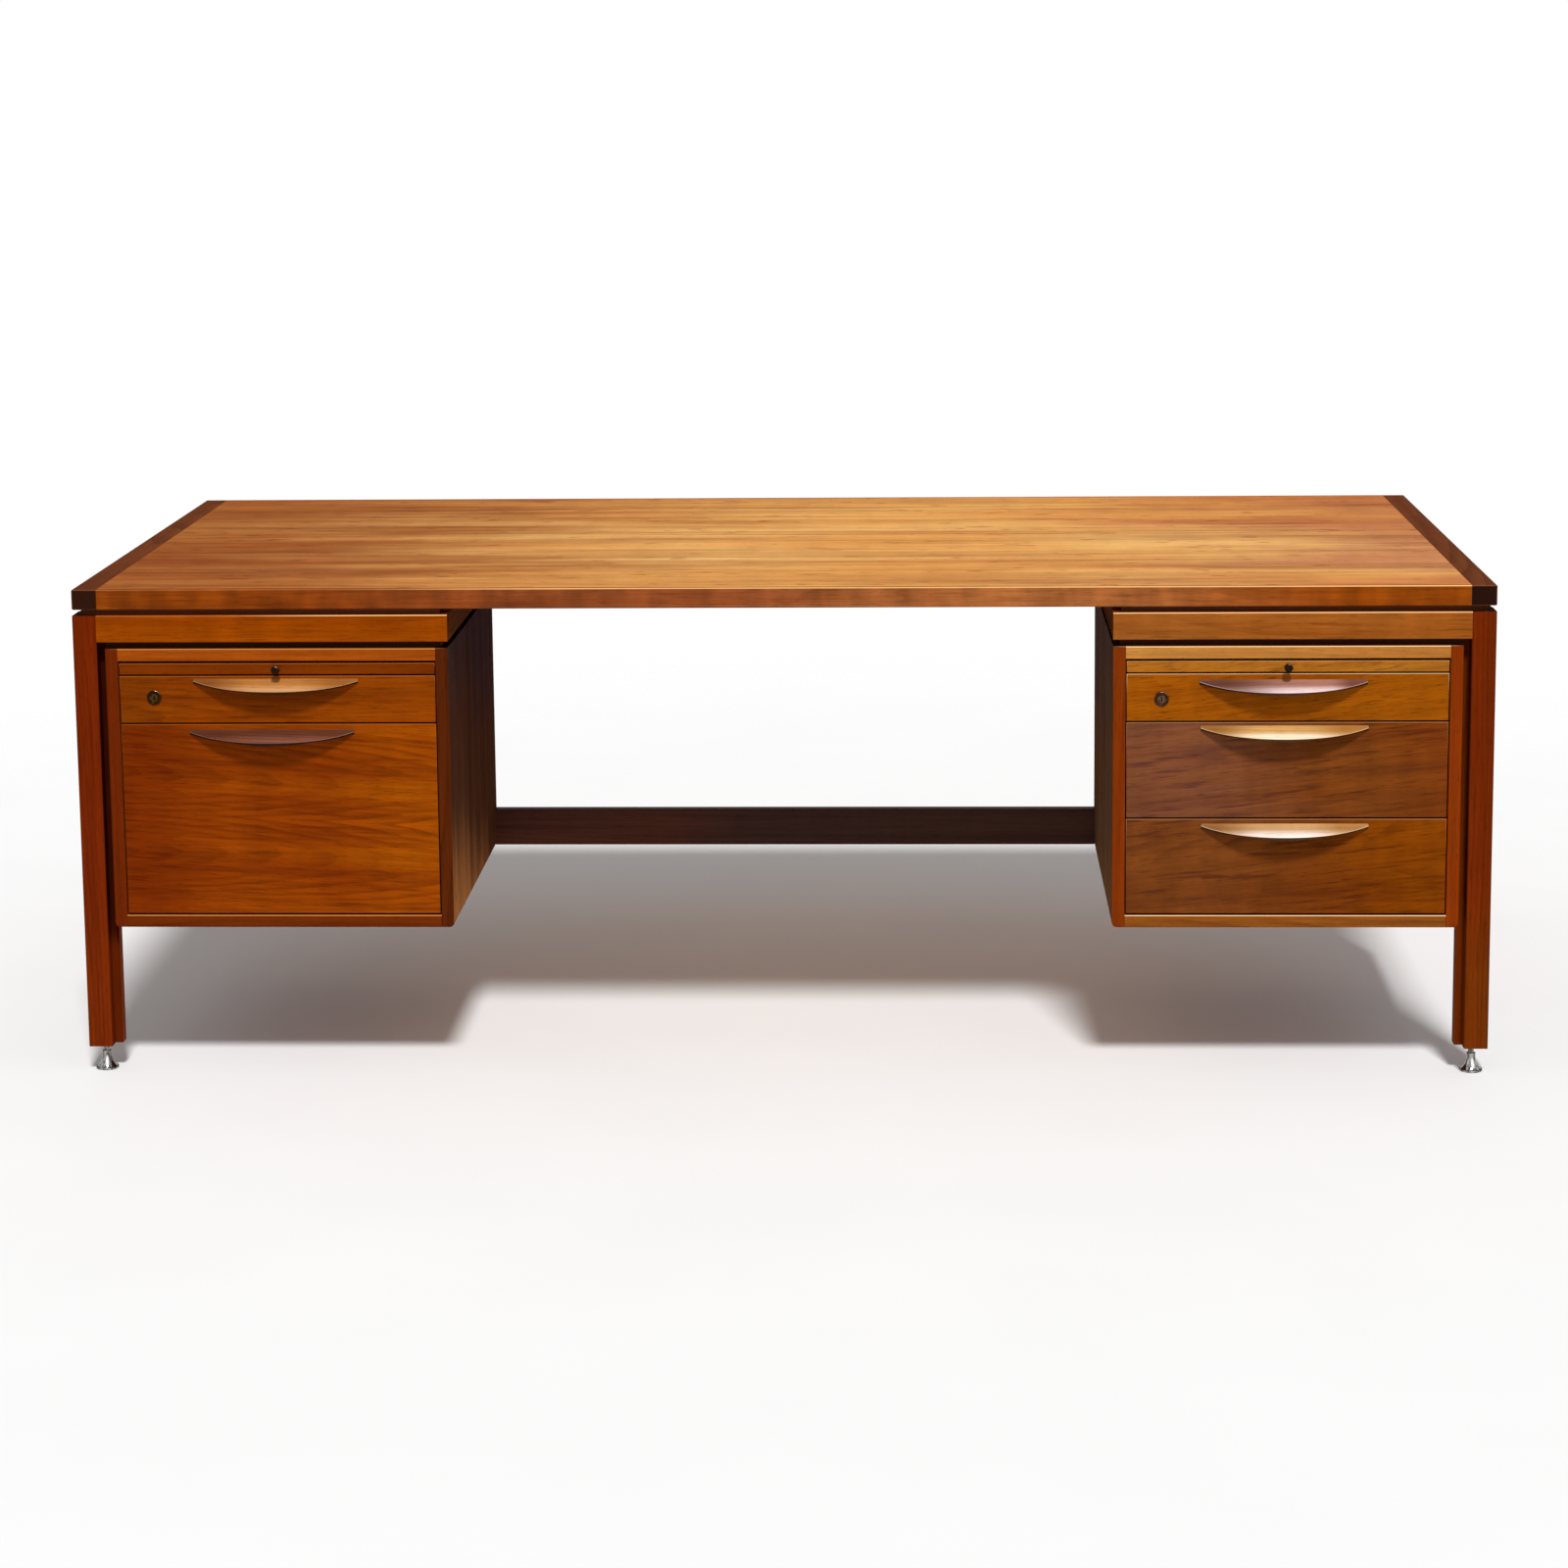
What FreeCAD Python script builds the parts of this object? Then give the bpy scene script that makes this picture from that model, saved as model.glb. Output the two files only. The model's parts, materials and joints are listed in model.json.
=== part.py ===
import FreeCAD, Part
import os
import re
import Sketcher

# Executive desk: a floating walnut top on a frame with four legs, two hung pedestals with five drawers
# and two writing slides, a rear stretcher, drawer locks and levelling glides.
# Millimetres, +Z up, +X to the right of someone who sits at the desk, -Y towards that person.
# The origin is on the floor, under the middle of the whole desk with its pulls.

SIZES = {
    # Whole desk
    "top_width": 2134,
    "top_depth": 1016,
    "overall_height": 750,
    "kneehole_width": 998,
    # Top
    "top_thickness": 31,
    "cap_width": 38,
    "lipping_depth": 8,
    "tongue_length": 14,
    "tongue_height": 9,
    "tongue_inset": 30,
    "tongue_gap": 0.4,
    "top_arris": 2.5,
    # Frame
    "top_gap": 9,
    "apron_height": 41,
    "rail_thickness": 22,
    "rail_arris": 2,
    "strip_inset": 12,
    "leg_width": 48,
    "leg_depth": 44,
    "rabbet_width": 12,
    "leg_arris": 2,
    "leg_lift": 39.5,
    "stretcher_height": 60,
    "stretcher_thickness": 22,
    "stretcher_lift": 4,
    # Glides and the sleeves that they turn in
    "glide_inset": 22,
    "glide_base_radius": 17.5,
    "glide_rim_height": 3,
    "glide_bell_radius": 15,
    "glide_collar_radius": 7,
    "glide_collar_height": 3,
    "glide_bell_height": 22,
    "glide_flare_radius": 28,
    "glide_stem_radius": 4.5,
    "glide_stem_fit": 0.05,
    "glide_stem_reach": 26,
    "sleeve_radius": 7.5,
    "sleeve_fit": 0.05,
    "sleeve_length": 30,
    # Pedestals
    "hanger_gap": 10,
    "case_height": 431,
    "case_depth": 550,
    "panel_thickness": 19,
    "back_thickness": 12,
    "case_arris": 2,
    "case_corner": 7,
    # Drawers
    "front_recess": 2,
    "front_thickness": 19,
    "front_gap": 1.5,
    "front_arris": 1,
    "drawer_gap": 2.5,
    "top_drawer_height": 71.5,
    "box_side": 12,
    "box_bottom": 6,
    "box_rear_gap": 27,
    "box_lift": 6,
    "box_drop": 16,
    "bottom_lift": 6,
    "runner_height": 8,
    "runner_reach": 13,
    "runner_play": 0.3,
    "runner_setback": 3,
    # Writing slides
    "slide_thickness": 17,
    "slide_headroom": 3.5,
    "slide_rear_gap": 56,
    "slide_arris": 1,
    "support_height": 10,
    "support_reach": 14,
    # Knobs of the writing slides
    "knob_stem_radius": 2,
    "knob_stem_length": 12,
    "knob_stem_fit": 0.05,
    "knob_neck_radius": 3,
    "knob_neck_length": 9,
    "knob_head_radius": 6.5,
    "knob_head_length": 6,
    "knob_rounding": 2.2,
    # Telescopic slides of the file drawer
    "member_space": 13,
    "member_height": 46,
    "member_wall": 1.4,
    "member_play": 0.4,
    "member_flange": 9,
    "member_rear_gap": 14,
    # Pulls
    "pull_length": 250,
    "pull_projection": 28,
    "pull_height": 21,
    "pull_lip": 5.5,
    "pull_undercut": 5,
    "pull_back": 13,
    "pull_dish_radius": 45,
    "pull_groove_radius": 12,
    "pull_groove_depth": 2,
    "pull_tip_depth": 4,
    "pull_tip_height": 7,
    "pull_tip_rise": 12.5,
    "left_top_pull_set": 4,
    "left_top_pull_shift": -2,
    "left_file_pull_set": 8.5,
    "left_file_pull_shift": -10,
    "right_top_pull_set": 9,
    "right_top_pull_shift": -6,
    "right_middle_pull_set": 5,
    "right_middle_pull_shift": -4,
    "right_bottom_pull_set": 7,
    "right_bottom_pull_shift": -2,
    # Locks
    "lock_inset": 52,
    "left_lock_rise": 3,
    "right_lock_rise": -2.5,
    "lock_rim_radius": 11,
    "lock_rim_height": 1.6,
    "lock_barrel_radius": 9,
    "lock_barrel_fit": 0.1,
    "plug_radius": 6,
    "plug_fit": 0.08,
    "plug_proud": 0.4,
    "keyway_width": 1.4,
    "keyway_height": 7,
    "keyway_depth": 5,
    "crank_radius": 5,
    "crank_disc_radius": 7.5,
    "crank_disc_thickness": 2.2,
    "crank_pin_radius": 1.5,
    "crank_pin_length": 4.6,
    "crank_play": 0.4,
    "bolt_thickness": 5.6,
    "bolt_height": 18,
    "bolt_tail": 13,
    "bolt_play": 0.3,
    "bolt_retreat": 0.5,
    "bolt_slot_height": 7,
    "bolt_slot_rise": 0.8,
    "bolt_throw": 7.07,
    "channel_depth": 9,
    "strike_play": 0.6,
    "plate_thickness": 1.5,
    "plate_height": 28,
    "plate_start": 15,
    "plate_end": 82,
    # Screws
    "screw_radius": 2.4,
    "screw_head_radius": 4.6,
    "screw_head_height": 2.6,
    "screw_length": 52,
    "side_screw_length": 45,
    "screw_fit": 0.05,
    "screw_near_share": 0.2,
    "screw_far_share": 0.8,
    # Extra length of every cutting shape past the face it leaves
    "overrun": 5,
}

# Places that follow from the sizes above, each a formula in their names.
PLACES = {
    "pull_reach": "pull_projection - front_recess",
    "face_y": "(pull_reach - top_depth) / 2",
    "rear_y": "face_y + top_depth",
    "half_width": "top_width / 2",
    "half_knee": "kneehole_width / 2",
    "top_bottom": "overall_height - top_thickness",
    "frame_top": "top_bottom - top_gap",
    "frame_bottom": "frame_top - apron_height",
    "rabbet_depth": "rail_thickness",
    "case_top": "frame_bottom - hanger_gap",
    "case_bottom": "case_top - case_height",
    "case_width": "half_width - leg_width - half_knee",
    "case_inside": "case_width - 2 * panel_thickness",
    "apron_length": "case_width + rabbet_width",
    "case_back": "face_y + case_depth",
    "case_rear_inside": "case_back - back_thickness",
    "left_case": "leg_width - half_width",
    "right_case": "half_knee",
    "front_y": "face_y + front_recess",
    "front_back": "front_y + front_thickness",
    "front_width": "case_inside - 2 * front_gap",
    "lower_z": "case_bottom + panel_thickness + drawer_gap",
    "slide_z": "case_top - panel_thickness - slide_headroom - slide_thickness",
    "top_drawer_z": "slide_z - drawer_gap - top_drawer_height",
    "file_height": "top_drawer_z - drawer_gap - lower_z",
    "deep_height": "(file_height - drawer_gap) / 2",
    "middle_z": "lower_z + deep_height + drawer_gap",
    "pull_slope": "pull_height - pull_lip",
    "pull_chord": "sqrt(pull_projection ^ 2 + pull_slope ^ 2)",
    "pull_dish_away": "sqrt(pull_dish_radius ^ 2 - pull_chord ^ 2 / 4)",
    "pull_plan_rise": "pull_projection - pull_tip_depth",
    "pull_lean": "pull_undercut / pull_lip",
    "pull_lean_rise": "pull_lean * pull_tip_rise",
    "pull_plan_depth": "pull_plan_rise + pull_lean_rise",
    "pull_plan_span": "pull_length ^ 2 / 4 + pull_plan_rise ^ 2 - pull_lean_rise ^ 2",
    "pull_plan_radius": "pull_plan_span / (2 * pull_plan_depth)",
    "pull_fall": "(pull_height - pull_back) * (overrun + pull_undercut) / (pull_projection - pull_undercut)",
    "pull_front_rise": "pull_height - pull_tip_height",
    "pull_front_radius": "(pull_length ^ 2 / 4 + pull_front_rise ^ 2) / (2 * pull_front_rise)",
    "bell_narrowing": "glide_bell_radius - glide_collar_radius",
    "bell_chord": "sqrt(bell_narrowing ^ 2 + glide_bell_height ^ 2)",
    "bell_flare_away": "sqrt(glide_flare_radius ^ 2 - bell_chord ^ 2 / 4)",
    "bell_top": "glide_rim_height + glide_bell_height",
    "lock_z": "top_drawer_z + top_drawer_height / 2",
    "left_lock_z": "lock_z + left_lock_rise",
    "right_lock_z": "lock_z + right_lock_rise",
    "barrel_end": "front_back - channel_depth",
    "bolt_y": "front_back - bolt_play - bolt_thickness",
    "crank_lead": "bolt_throw / 2",
    "crank_rise": "sqrt(crank_radius ^ 2 - crank_lead ^ 2)",
    "pin_slot": "2 * (crank_pin_radius + crank_play)",
    "member_nest": "member_wall + member_play",
    "member_start": "front_back + runner_setback",
    "member_length": "case_rear_inside - member_rear_gap - member_start",
    "box_depth": "case_rear_inside - box_rear_gap - front_back",
    "slide_depth": "case_rear_inside - slide_rear_gap - front_y",
}

# Two points are on one plane when they lie within this share of a shape's diagonal of it.
NEAR_SHARE = 1e-7

AXES = {
    "x": FreeCAD.Rotation(FreeCAD.Vector(0, 1, 0), 90),
    "-x": FreeCAD.Rotation(FreeCAD.Vector(0, 1, 0), -90),
    "y": FreeCAD.Rotation(FreeCAD.Vector(1, 0, 0), -90),
    "-y": FreeCAD.Rotation(FreeCAD.Vector(1, 0, 0), 90),
    "z": FreeCAD.Rotation(),
}

doc = FreeCAD.newDocument("executive_desk")
sheet = doc.addObject("Spreadsheet::Sheet", "Sizes")
for row, (alias, size) in enumerate(SIZES.items(), start=1):
    sheet.set("A%d" % row, alias)
    sheet.set("B%d" % row, str(size))
    sheet.setAlias("B%d" % row, alias)
doc.recompute()

nodes = []


def formula(text):
    """Return text with its place names written out and its size names bound to the sheet."""
    def bound(match):
        word = match.group(0)
        if word in PLACES:
            return "(" + formula(PLACES[word]) + ")"
        if word in SIZES:
            return "Sizes." + word
        return word
    return re.sub(r"[a-z_]+", bound, text)


def bind(item, **formulas):
    """Bind properties of a document object to formulas."""
    for name, text in formulas.items():
        item.setExpression(name, formula(text))


def move(item, place):
    """Bind the place of an object to three formulas."""
    for axis, text in zip("xyz", place):
        item.setExpression("Placement.Base." + axis, formula(text))


def box(name, size, corner):
    """A rectangular block from its three sizes and its lowest corner."""
    block = doc.addObject("Part::Box", name)
    bind(block, Length=size[0], Width=size[1], Height=size[2])
    move(block, corner)
    return block


def rod(name, axis, radius, start, length):
    """A round bar that runs from start along an axis."""
    bar = doc.addObject("Part::Cylinder", name)
    bar.Placement = FreeCAD.Placement(FreeCAD.Vector(), AXES[axis])
    bind(bar, Radius=radius, Height=length)
    move(bar, start)
    return bar


def group(name, pieces):
    """Several separate solids under one name."""
    several = doc.addObject("Part::Compound", name)
    several.Links = pieces
    return several


def cut(name, base, *tools):
    """The base without its tools."""
    rest = doc.addObject("Part::Cut", name)
    rest.Base = base
    rest.Tool = tools[0] if len(tools) == 1 else group(name + "_cutters", list(tools))
    return rest


def fuse(name, *pieces):
    """Several overlapping shapes as one solid."""
    whole = doc.addObject("Part::MultiFuse", name)
    whole.Shapes = list(pieces)
    whole.Refine = True
    return whole


def common(name, *pieces):
    """What several shapes share."""
    shared = doc.addObject("Part::MultiCommon", name)
    shared.Shapes = list(pieces)
    return shared


def edges_where(shape, corners):
    """Numbers of the edges that lie on two named sides of a shape, such as ("y-", "z+")."""
    bounds = shape.BoundBox
    sides = {
        "x-": ("x", bounds.XMin), "x+": ("x", bounds.XMax),
        "y-": ("y", bounds.YMin), "y+": ("y", bounds.YMax),
        "z-": ("z", bounds.ZMin), "z+": ("z", bounds.ZMax),
    }
    near = bounds.DiagonalLength * NEAR_SHARE
    found = []
    for number, edge in enumerate(shape.Edges, start=1):
        points = [vertex.Point for vertex in edge.Vertexes]
        for pair in corners:
            on_both = all(abs(getattr(point, sides[side][0]) - sides[side][1]) < near
                          for point in points for side in pair)
            if on_both:
                found.append(number)
    return found


def rounded(name, base, *roundings):
    """The base with edges rounded; each rounding is a size name and its pairs of sides."""
    doc.recompute()
    soft = doc.addObject("Part::Fillet", name)
    soft.Base = base
    edges = []
    for radius, corners in roundings:
        edges += [(number, SIZES[radius], SIZES[radius]) for number in edges_where(base.Shape, corners)]
    soft.Edges = edges
    return soft


def node(name, piece):
    """Register a finished sub-part under its own name."""
    piece.Label = name
    nodes.append(piece)
    return piece


def outline(body, role, name, points):
    """A closed outline of straight lines on one of a body's own planes, from pairs of formulas."""
    drawing = body.newObject("Sketcher::SketchObject", name)
    plane = next(item for item in body.Origin.OriginFeatures if item.Role == role)
    drawing.AttachmentSupport = [(plane, "")]
    drawing.MapMode = "FlatFace"
    places = [FreeCAD.Vector(worth(drawing, across), worth(drawing, along), 0) for across, along in points]
    for start, end in zip(places, places[1:] + places[:1]):
        drawing.addGeometry(Part.LineSegment(start, end), False)
    for line, (across, along) in enumerate(points):
        before = (line - 1) % len(points)
        drawing.addConstraint(Sketcher.Constraint("Coincident", before, 2, line, 1))
        pin(drawing, line, "DistanceX", across, -2)
        pin(drawing, line, "DistanceY", along, -1)
    return drawing


def worth(item, text):
    """The value of a formula now, in millimetres."""
    return float(item.evalExpression(formula(text)))


def pin(drawing, line, kind, text, axis):
    """Hold the start of a line at a formula's distance from the sketch's origin, or on its axis."""
    if text == "0":
        drawing.addConstraint(Sketcher.Constraint("PointOnObject", line, 1, axis))
        return
    number = drawing.addConstraint(Sketcher.Constraint(kind, -1, 1, line, 1, worth(drawing, text)))
    drawing.setExpression("Constraints[%d]" % number, formula(text))


def make_top():
    """The panel with its tongues, the two lippings and the two end caps."""
    panel_width = "top_width - 2 * cap_width"
    panel_x = "cap_width - half_width"
    core = box("top_core", (panel_width, "top_depth - 2 * lipping_depth", "top_thickness"),
               (panel_x, "face_y + lipping_depth", "top_bottom"))
    tongue_z = "top_bottom + (top_thickness - tongue_height) / 2"
    tongue = box("top_tongue",
                 (panel_width + " + 2 * tongue_length", "top_depth - 2 * tongue_inset", "tongue_height"),
                 (panel_x + " - tongue_length", "face_y + tongue_inset", tongue_z))
    node("top_panel", fuse("top_panel_whole", core, tongue))
    lippings = []
    for side, y, edge in (("front", "face_y", "y-"), ("back", "rear_y - lipping_depth", "y+")):
        strip = box(side + "_lipping", (panel_width, "lipping_depth", "top_thickness"),
                    (panel_x, y, "top_bottom"))
        lippings.append(rounded(side + "_lipping_soft", strip,
                                ("top_arris", [(edge, "z+"), (edge, "z-")])))
    node("top_edge_lippings", group("top_lippings", lippings))
    groove_size = ("tongue_length + tongue_gap + overrun", "top_depth - 2 * tongue_inset + 2 * tongue_gap",
                   "tongue_height + 2 * tongue_gap")
    groove_y = "face_y + tongue_inset - tongue_gap"
    groove_z = tongue_z + " - tongue_gap"
    ends = (("left", "-half_width", "x-", panel_x + " - tongue_length - tongue_gap"),
            ("right", "half_width - cap_width", "x+", "half_width - cap_width - overrun"))
    for side, x, edge, groove_x in ends:
        cap = box(side + "_cap", ("cap_width", "top_depth", "top_thickness"), (x, "face_y", "top_bottom"))
        pairs = [(edge, "z+"), (edge, "z-"), (edge, "y-"), (edge, "y+"),
                 ("y-", "z+"), ("y-", "z-"), ("y+", "z+"), ("y+", "z-")]
        soft = rounded(side + "_cap_soft", cap, ("top_arris", pairs))
        groove = box(side + "_cap_groove", groove_size, (groove_x, groove_y, groove_z))
        node("top_end_cap_" + side, cut(side + "_cap_grooved", soft, groove))


def make_spacers():
    """Strips set back under the top, which make the shadow gap."""
    strip = "rail_thickness - strip_inset"
    between_rails = "top_depth - 2 * rail_thickness"
    pieces = [
        box("spacer_left", (strip, "top_depth - 2 * strip_inset", "top_gap"),
            ("strip_inset - half_width", "face_y + strip_inset", "frame_top")),
        box("spacer_right", (strip, "top_depth - 2 * strip_inset", "top_gap"),
            ("half_width - rail_thickness", "face_y + strip_inset", "frame_top")),
        box("spacer_rear", ("top_width - 2 * rail_thickness", strip, "top_gap"),
            ("rail_thickness - half_width", "rear_y - rail_thickness", "frame_top")),
    ]
    front_width = "half_width - rail_thickness - half_knee - strip_inset"
    for side, x, inner_x in (("left", "rail_thickness - half_width", "-half_knee - rail_thickness"),
                             ("right", "half_knee + strip_inset", "half_knee + strip_inset")):
        pieces.append(box("spacer_front_" + side, (front_width, strip, "top_gap"),
                          (x, "face_y + strip_inset", "frame_top")))
        pieces.append(box("spacer_inner_" + side, (strip, between_rails, "top_gap"),
                          (inner_x, "face_y + rail_thickness", "frame_top")))
    node("top_spacer_strips", group("spacers", pieces))


def screw(name, axis, head, length, fit="0"):
    """A countersunk screw from its head along an axis; with a fit, the hole that takes it."""
    cone = doc.addObject("Part::Cone", name + "_head")
    cone.Placement = FreeCAD.Placement(FreeCAD.Vector(), AXES[axis])
    bind(cone, Radius1="screw_head_radius + " + fit, Radius2="screw_radius + " + fit,
         Height="screw_head_height")
    move(cone, head)
    shank = rod(name + "_shank", axis, "screw_radius + " + fit, head, length + " + " + fit)
    return fuse(name, cone, shank)


def make_screws():
    """Every screw of the frame and its hole; holes are returned by the place that they serve."""
    screws = []
    holes = {}
    middle = "(strip_inset + rail_thickness) / 2"
    shares = ("screw_near_share", "screw_far_share")
    sides = {
        "left": ("left_case + panel_thickness", "-x", "left_case + case_width - panel_thickness", "x"),
        "right": ("right_case + case_width - panel_thickness", "x", "right_case + panel_thickness", "-x"),
    }
    places = []
    for side, (outer_x, outward, inner_x, inward) in sides.items():
        for row, y in (("front", "face_y + " + middle), ("rear", "case_back - " + middle)):
            for share in shares:
                head = (side + "_case + case_width * " + share, y, "case_top - panel_thickness")
                places.append((side + "_" + row, "z", head, "screw_length"))
        for share in shares:
            leg_y = "face_y + (rabbet_depth + leg_depth) / 2"
            places.append((side + "_leg", outward, (outer_x, leg_y, "case_bottom + case_height * " + share),
                           "side_screw_length"))
            rail_y = "case_back - (stretcher_thickness + back_thickness) / 2"
            rail_z = "case_bottom + stretcher_lift + stretcher_height * " + share
            places.append((side + "_stretcher", inward, (inner_x, rail_y, rail_z), "side_screw_length"))
    for number, (place, axis, head, length) in enumerate(places):
        name = "screw_%s_%d" % (place, number)
        screws.append(screw(name, axis, head, length))
        holes.setdefault(place, []).append(screw(name + "_hole", axis, head, length, "screw_fit"))
    node("assembly_screws", group("screws", screws))
    return holes


def make_frame(holes):
    """Aprons, rails, stretcher and hanger strips."""
    soft_front = ("rail_arris", [("y-", "z+"), ("y-", "z-")])
    aprons = []
    rails = []
    hangers = []
    strip = "rail_thickness - strip_inset"
    sides = {
        "left": ("left_case - rabbet_width", "-half_knee - rail_thickness", "left_case",
                 "rail_thickness - half_width"),
        "right": ("right_case", "half_knee", "right_case + strip_inset", "half_knee + rail_thickness"),
    }
    for side, (apron_x, inner_x, hanger_x, cross_x) in sides.items():
        board = box(side + "_apron", ("apron_length", "rail_thickness", "apron_height"),
                    (apron_x, "face_y", "frame_bottom"))
        soft = rounded(side + "_apron_soft", board, soft_front)
        aprons.append(cut(side + "_apron_drilled", soft, *holes[side + "_front"]))
        rails.append(box(side + "_inner_rail",
                         ("rail_thickness", "top_depth - 2 * rail_thickness", "apron_height"),
                         (inner_x, "face_y + rail_thickness", "frame_bottom")))
        cross = box(side + "_cross_rail",
                    ("half_width - half_knee - 2 * rail_thickness", "rail_thickness", "apron_height"),
                    (cross_x, "case_back - rail_thickness", "frame_bottom"))
        rails.append(cut(side + "_cross_rail_drilled", cross, *holes[side + "_rear"]))
        for row, y in (("front", "face_y + strip_inset"), ("rear", "case_back - rail_thickness")):
            hanger = box("%s_%s_hanger" % (side, row), ("case_width - strip_inset", strip, "hanger_gap"),
                         (hanger_x, y, "case_top"))
            hangers.append(cut("%s_%s_hanger_drilled" % (side, row), hanger, *holes[side + "_" + row]))
        inner_hanger_x = inner_x if side == "left" else inner_x + " + strip_inset"
        hangers.append(box(side + "_inner_hanger",
                           (strip, "case_depth - 2 * rail_thickness", "hanger_gap"),
                           (inner_hanger_x, "face_y + rail_thickness", "case_top")))
    node("front_aprons", group("aprons", aprons))
    node("pedestal_rails", group("rails", rails))
    node("pedestal_hanger_strips", group("hangers", hangers))
    rear = box("rear_apron_board", ("kneehole_width + 2 * apron_length", "rail_thickness", "apron_height"),
               ("-half_knee - apron_length", "rear_y - rail_thickness", "frame_bottom"))
    node("rear_apron", rounded("rear_apron_soft", rear, ("rail_arris", [("y+", "z+"), ("y+", "z-")])))
    side_rails = []
    for side, x, edge in (("left", "-half_width", "x-"), ("right", "half_width - rail_thickness", "x+")):
        rail = box(side + "_side_rail", ("rail_thickness", "top_depth - 2 * leg_depth", "apron_height"),
                   (x, "face_y + leg_depth", "frame_bottom"))
        side_rails.append(rounded(side + "_side_rail_soft", rail,
                                  ("rail_arris", [(edge, "z+"), (edge, "z-")])))
    node("side_rails", group("outer_rails", side_rails))
    bar = box("stretcher_bar", ("kneehole_width", "stretcher_thickness", "stretcher_height"),
              ("-half_knee", "case_back - stretcher_thickness", "case_bottom + stretcher_lift"))
    long_edges = [("y-", "z+"), ("y-", "z-"), ("y+", "z+"), ("y+", "z-")]
    soft_bar = rounded("stretcher_soft", bar, ("rail_arris", long_edges))
    node("rear_stretcher", cut("stretcher_drilled", soft_bar,
                               *holes["left_stretcher"], *holes["right_stretcher"]))


def leg_outline(left, front):
    """Corners of a leg's section, with the rabbet that takes the apron's end."""
    near, far = ("0", "rabbet_depth") if front else ("leg_depth", "leg_depth - rabbet_depth")
    other = "leg_depth" if front else "0"
    if left:
        return [("0", near), ("leg_width - rabbet_width", near), ("leg_width - rabbet_width", far),
                ("leg_width", far), ("leg_width", other), ("0", other)]
    return [("rabbet_width", near), ("leg_width", near), ("leg_width", other),
            ("0", other), ("0", far), ("rabbet_width", far)]


def make_legs(holes):
    """Four legs, the sleeves in their feet and the glides that turn in them."""
    sleeves = []
    for row, front in (("front", True), ("rear", False)):
        for side, left in (("left", True), ("right", False)):
            name = row + "_" + side
            body = doc.addObject("PartDesign::Body", name + "_leg_body")
            drawing = outline(body, "XY_Plane", name + "_leg_section", leg_outline(left, front))
            pad = body.newObject("PartDesign::Pad", name + "_leg_pad")
            pad.Profile = drawing
            bind(pad, Length="frame_top - leg_lift")
            doc.recompute()
            soft = body.newObject("PartDesign::Fillet", name + "_leg_soft")
            upright = edges_where(pad.Shape, [("x-",), ("x+",), ("y-",), ("y+",)])
            level = edges_where(pad.Shape, [("z-",), ("z+",)])
            soft.Base = (pad, ["Edge%d" % number for number in sorted(set(upright) - set(level))])
            bind(soft, Radius="leg_arris")
            move(body, ("-half_width" if left else "half_width - leg_width",
                        "face_y" if front else "rear_y - leg_depth", "leg_lift"))
            x = "glide_inset - half_width" if left else "half_width - glide_inset"
            y = "face_y + glide_inset" if front else "rear_y - glide_inset"
            foot_hole = rod(name + "_foot_hole", "z", "sleeve_radius + sleeve_fit",
                            (x, y, "leg_lift - overrun"), "sleeve_length + 2 * overrun")
            screw_holes = holes[side + "_leg"] if front else []
            node("leg_" + name, cut(name + "_leg_bored", body, foot_hole, *screw_holes))
            tube = rod(name + "_sleeve_tube", "z", "sleeve_radius", (x, y, "leg_lift"), "sleeve_length")
            bore = rod(name + "_sleeve_bore", "z", "glide_stem_radius + glide_stem_fit",
                       (x, y, "leg_lift - overrun"), "sleeve_length + 2 * overrun")
            sleeves.append(cut(name + "_sleeve", tube, bore))
            make_glide(name, x, y)
    node("leg_sleeves", group("sleeves", sleeves))


def make_glide(name, x, y):
    """A levelling glide: flared bell on a rimmed base, collar and stem."""
    rim = rod(name + "_glide_rim", "z", "glide_base_radius", (x, y, "0"), "glide_rim_height")
    blank = rod(name + "_glide_blank", "z", "glide_bell_radius", (x, y, "glide_rim_height"),
                "glide_bell_height")
    flare = doc.addObject("Part::Torus", name + "_glide_flare")
    bind(flare, Radius2="glide_flare_radius",
         Radius1="(glide_bell_radius + glide_collar_radius) / 2"
                 " + bell_flare_away * glide_bell_height / bell_chord")
    move(flare, (x, y, "(glide_rim_height + bell_top) / 2 + bell_flare_away * bell_narrowing / bell_chord"))
    bell = cut(name + "_glide_bell", blank, flare)
    collar = rod(name + "_glide_collar", "z", "glide_collar_radius", (x, y, "bell_top"),
                 "glide_collar_height")
    stem = rod(name + "_glide_stem", "z", "glide_stem_radius", (x, y, "bell_top"),
               "leg_lift + glide_stem_reach - bell_top")
    node("glide_" + name, fuse(name + "_glide", rim, bell, collar, stem))


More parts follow.
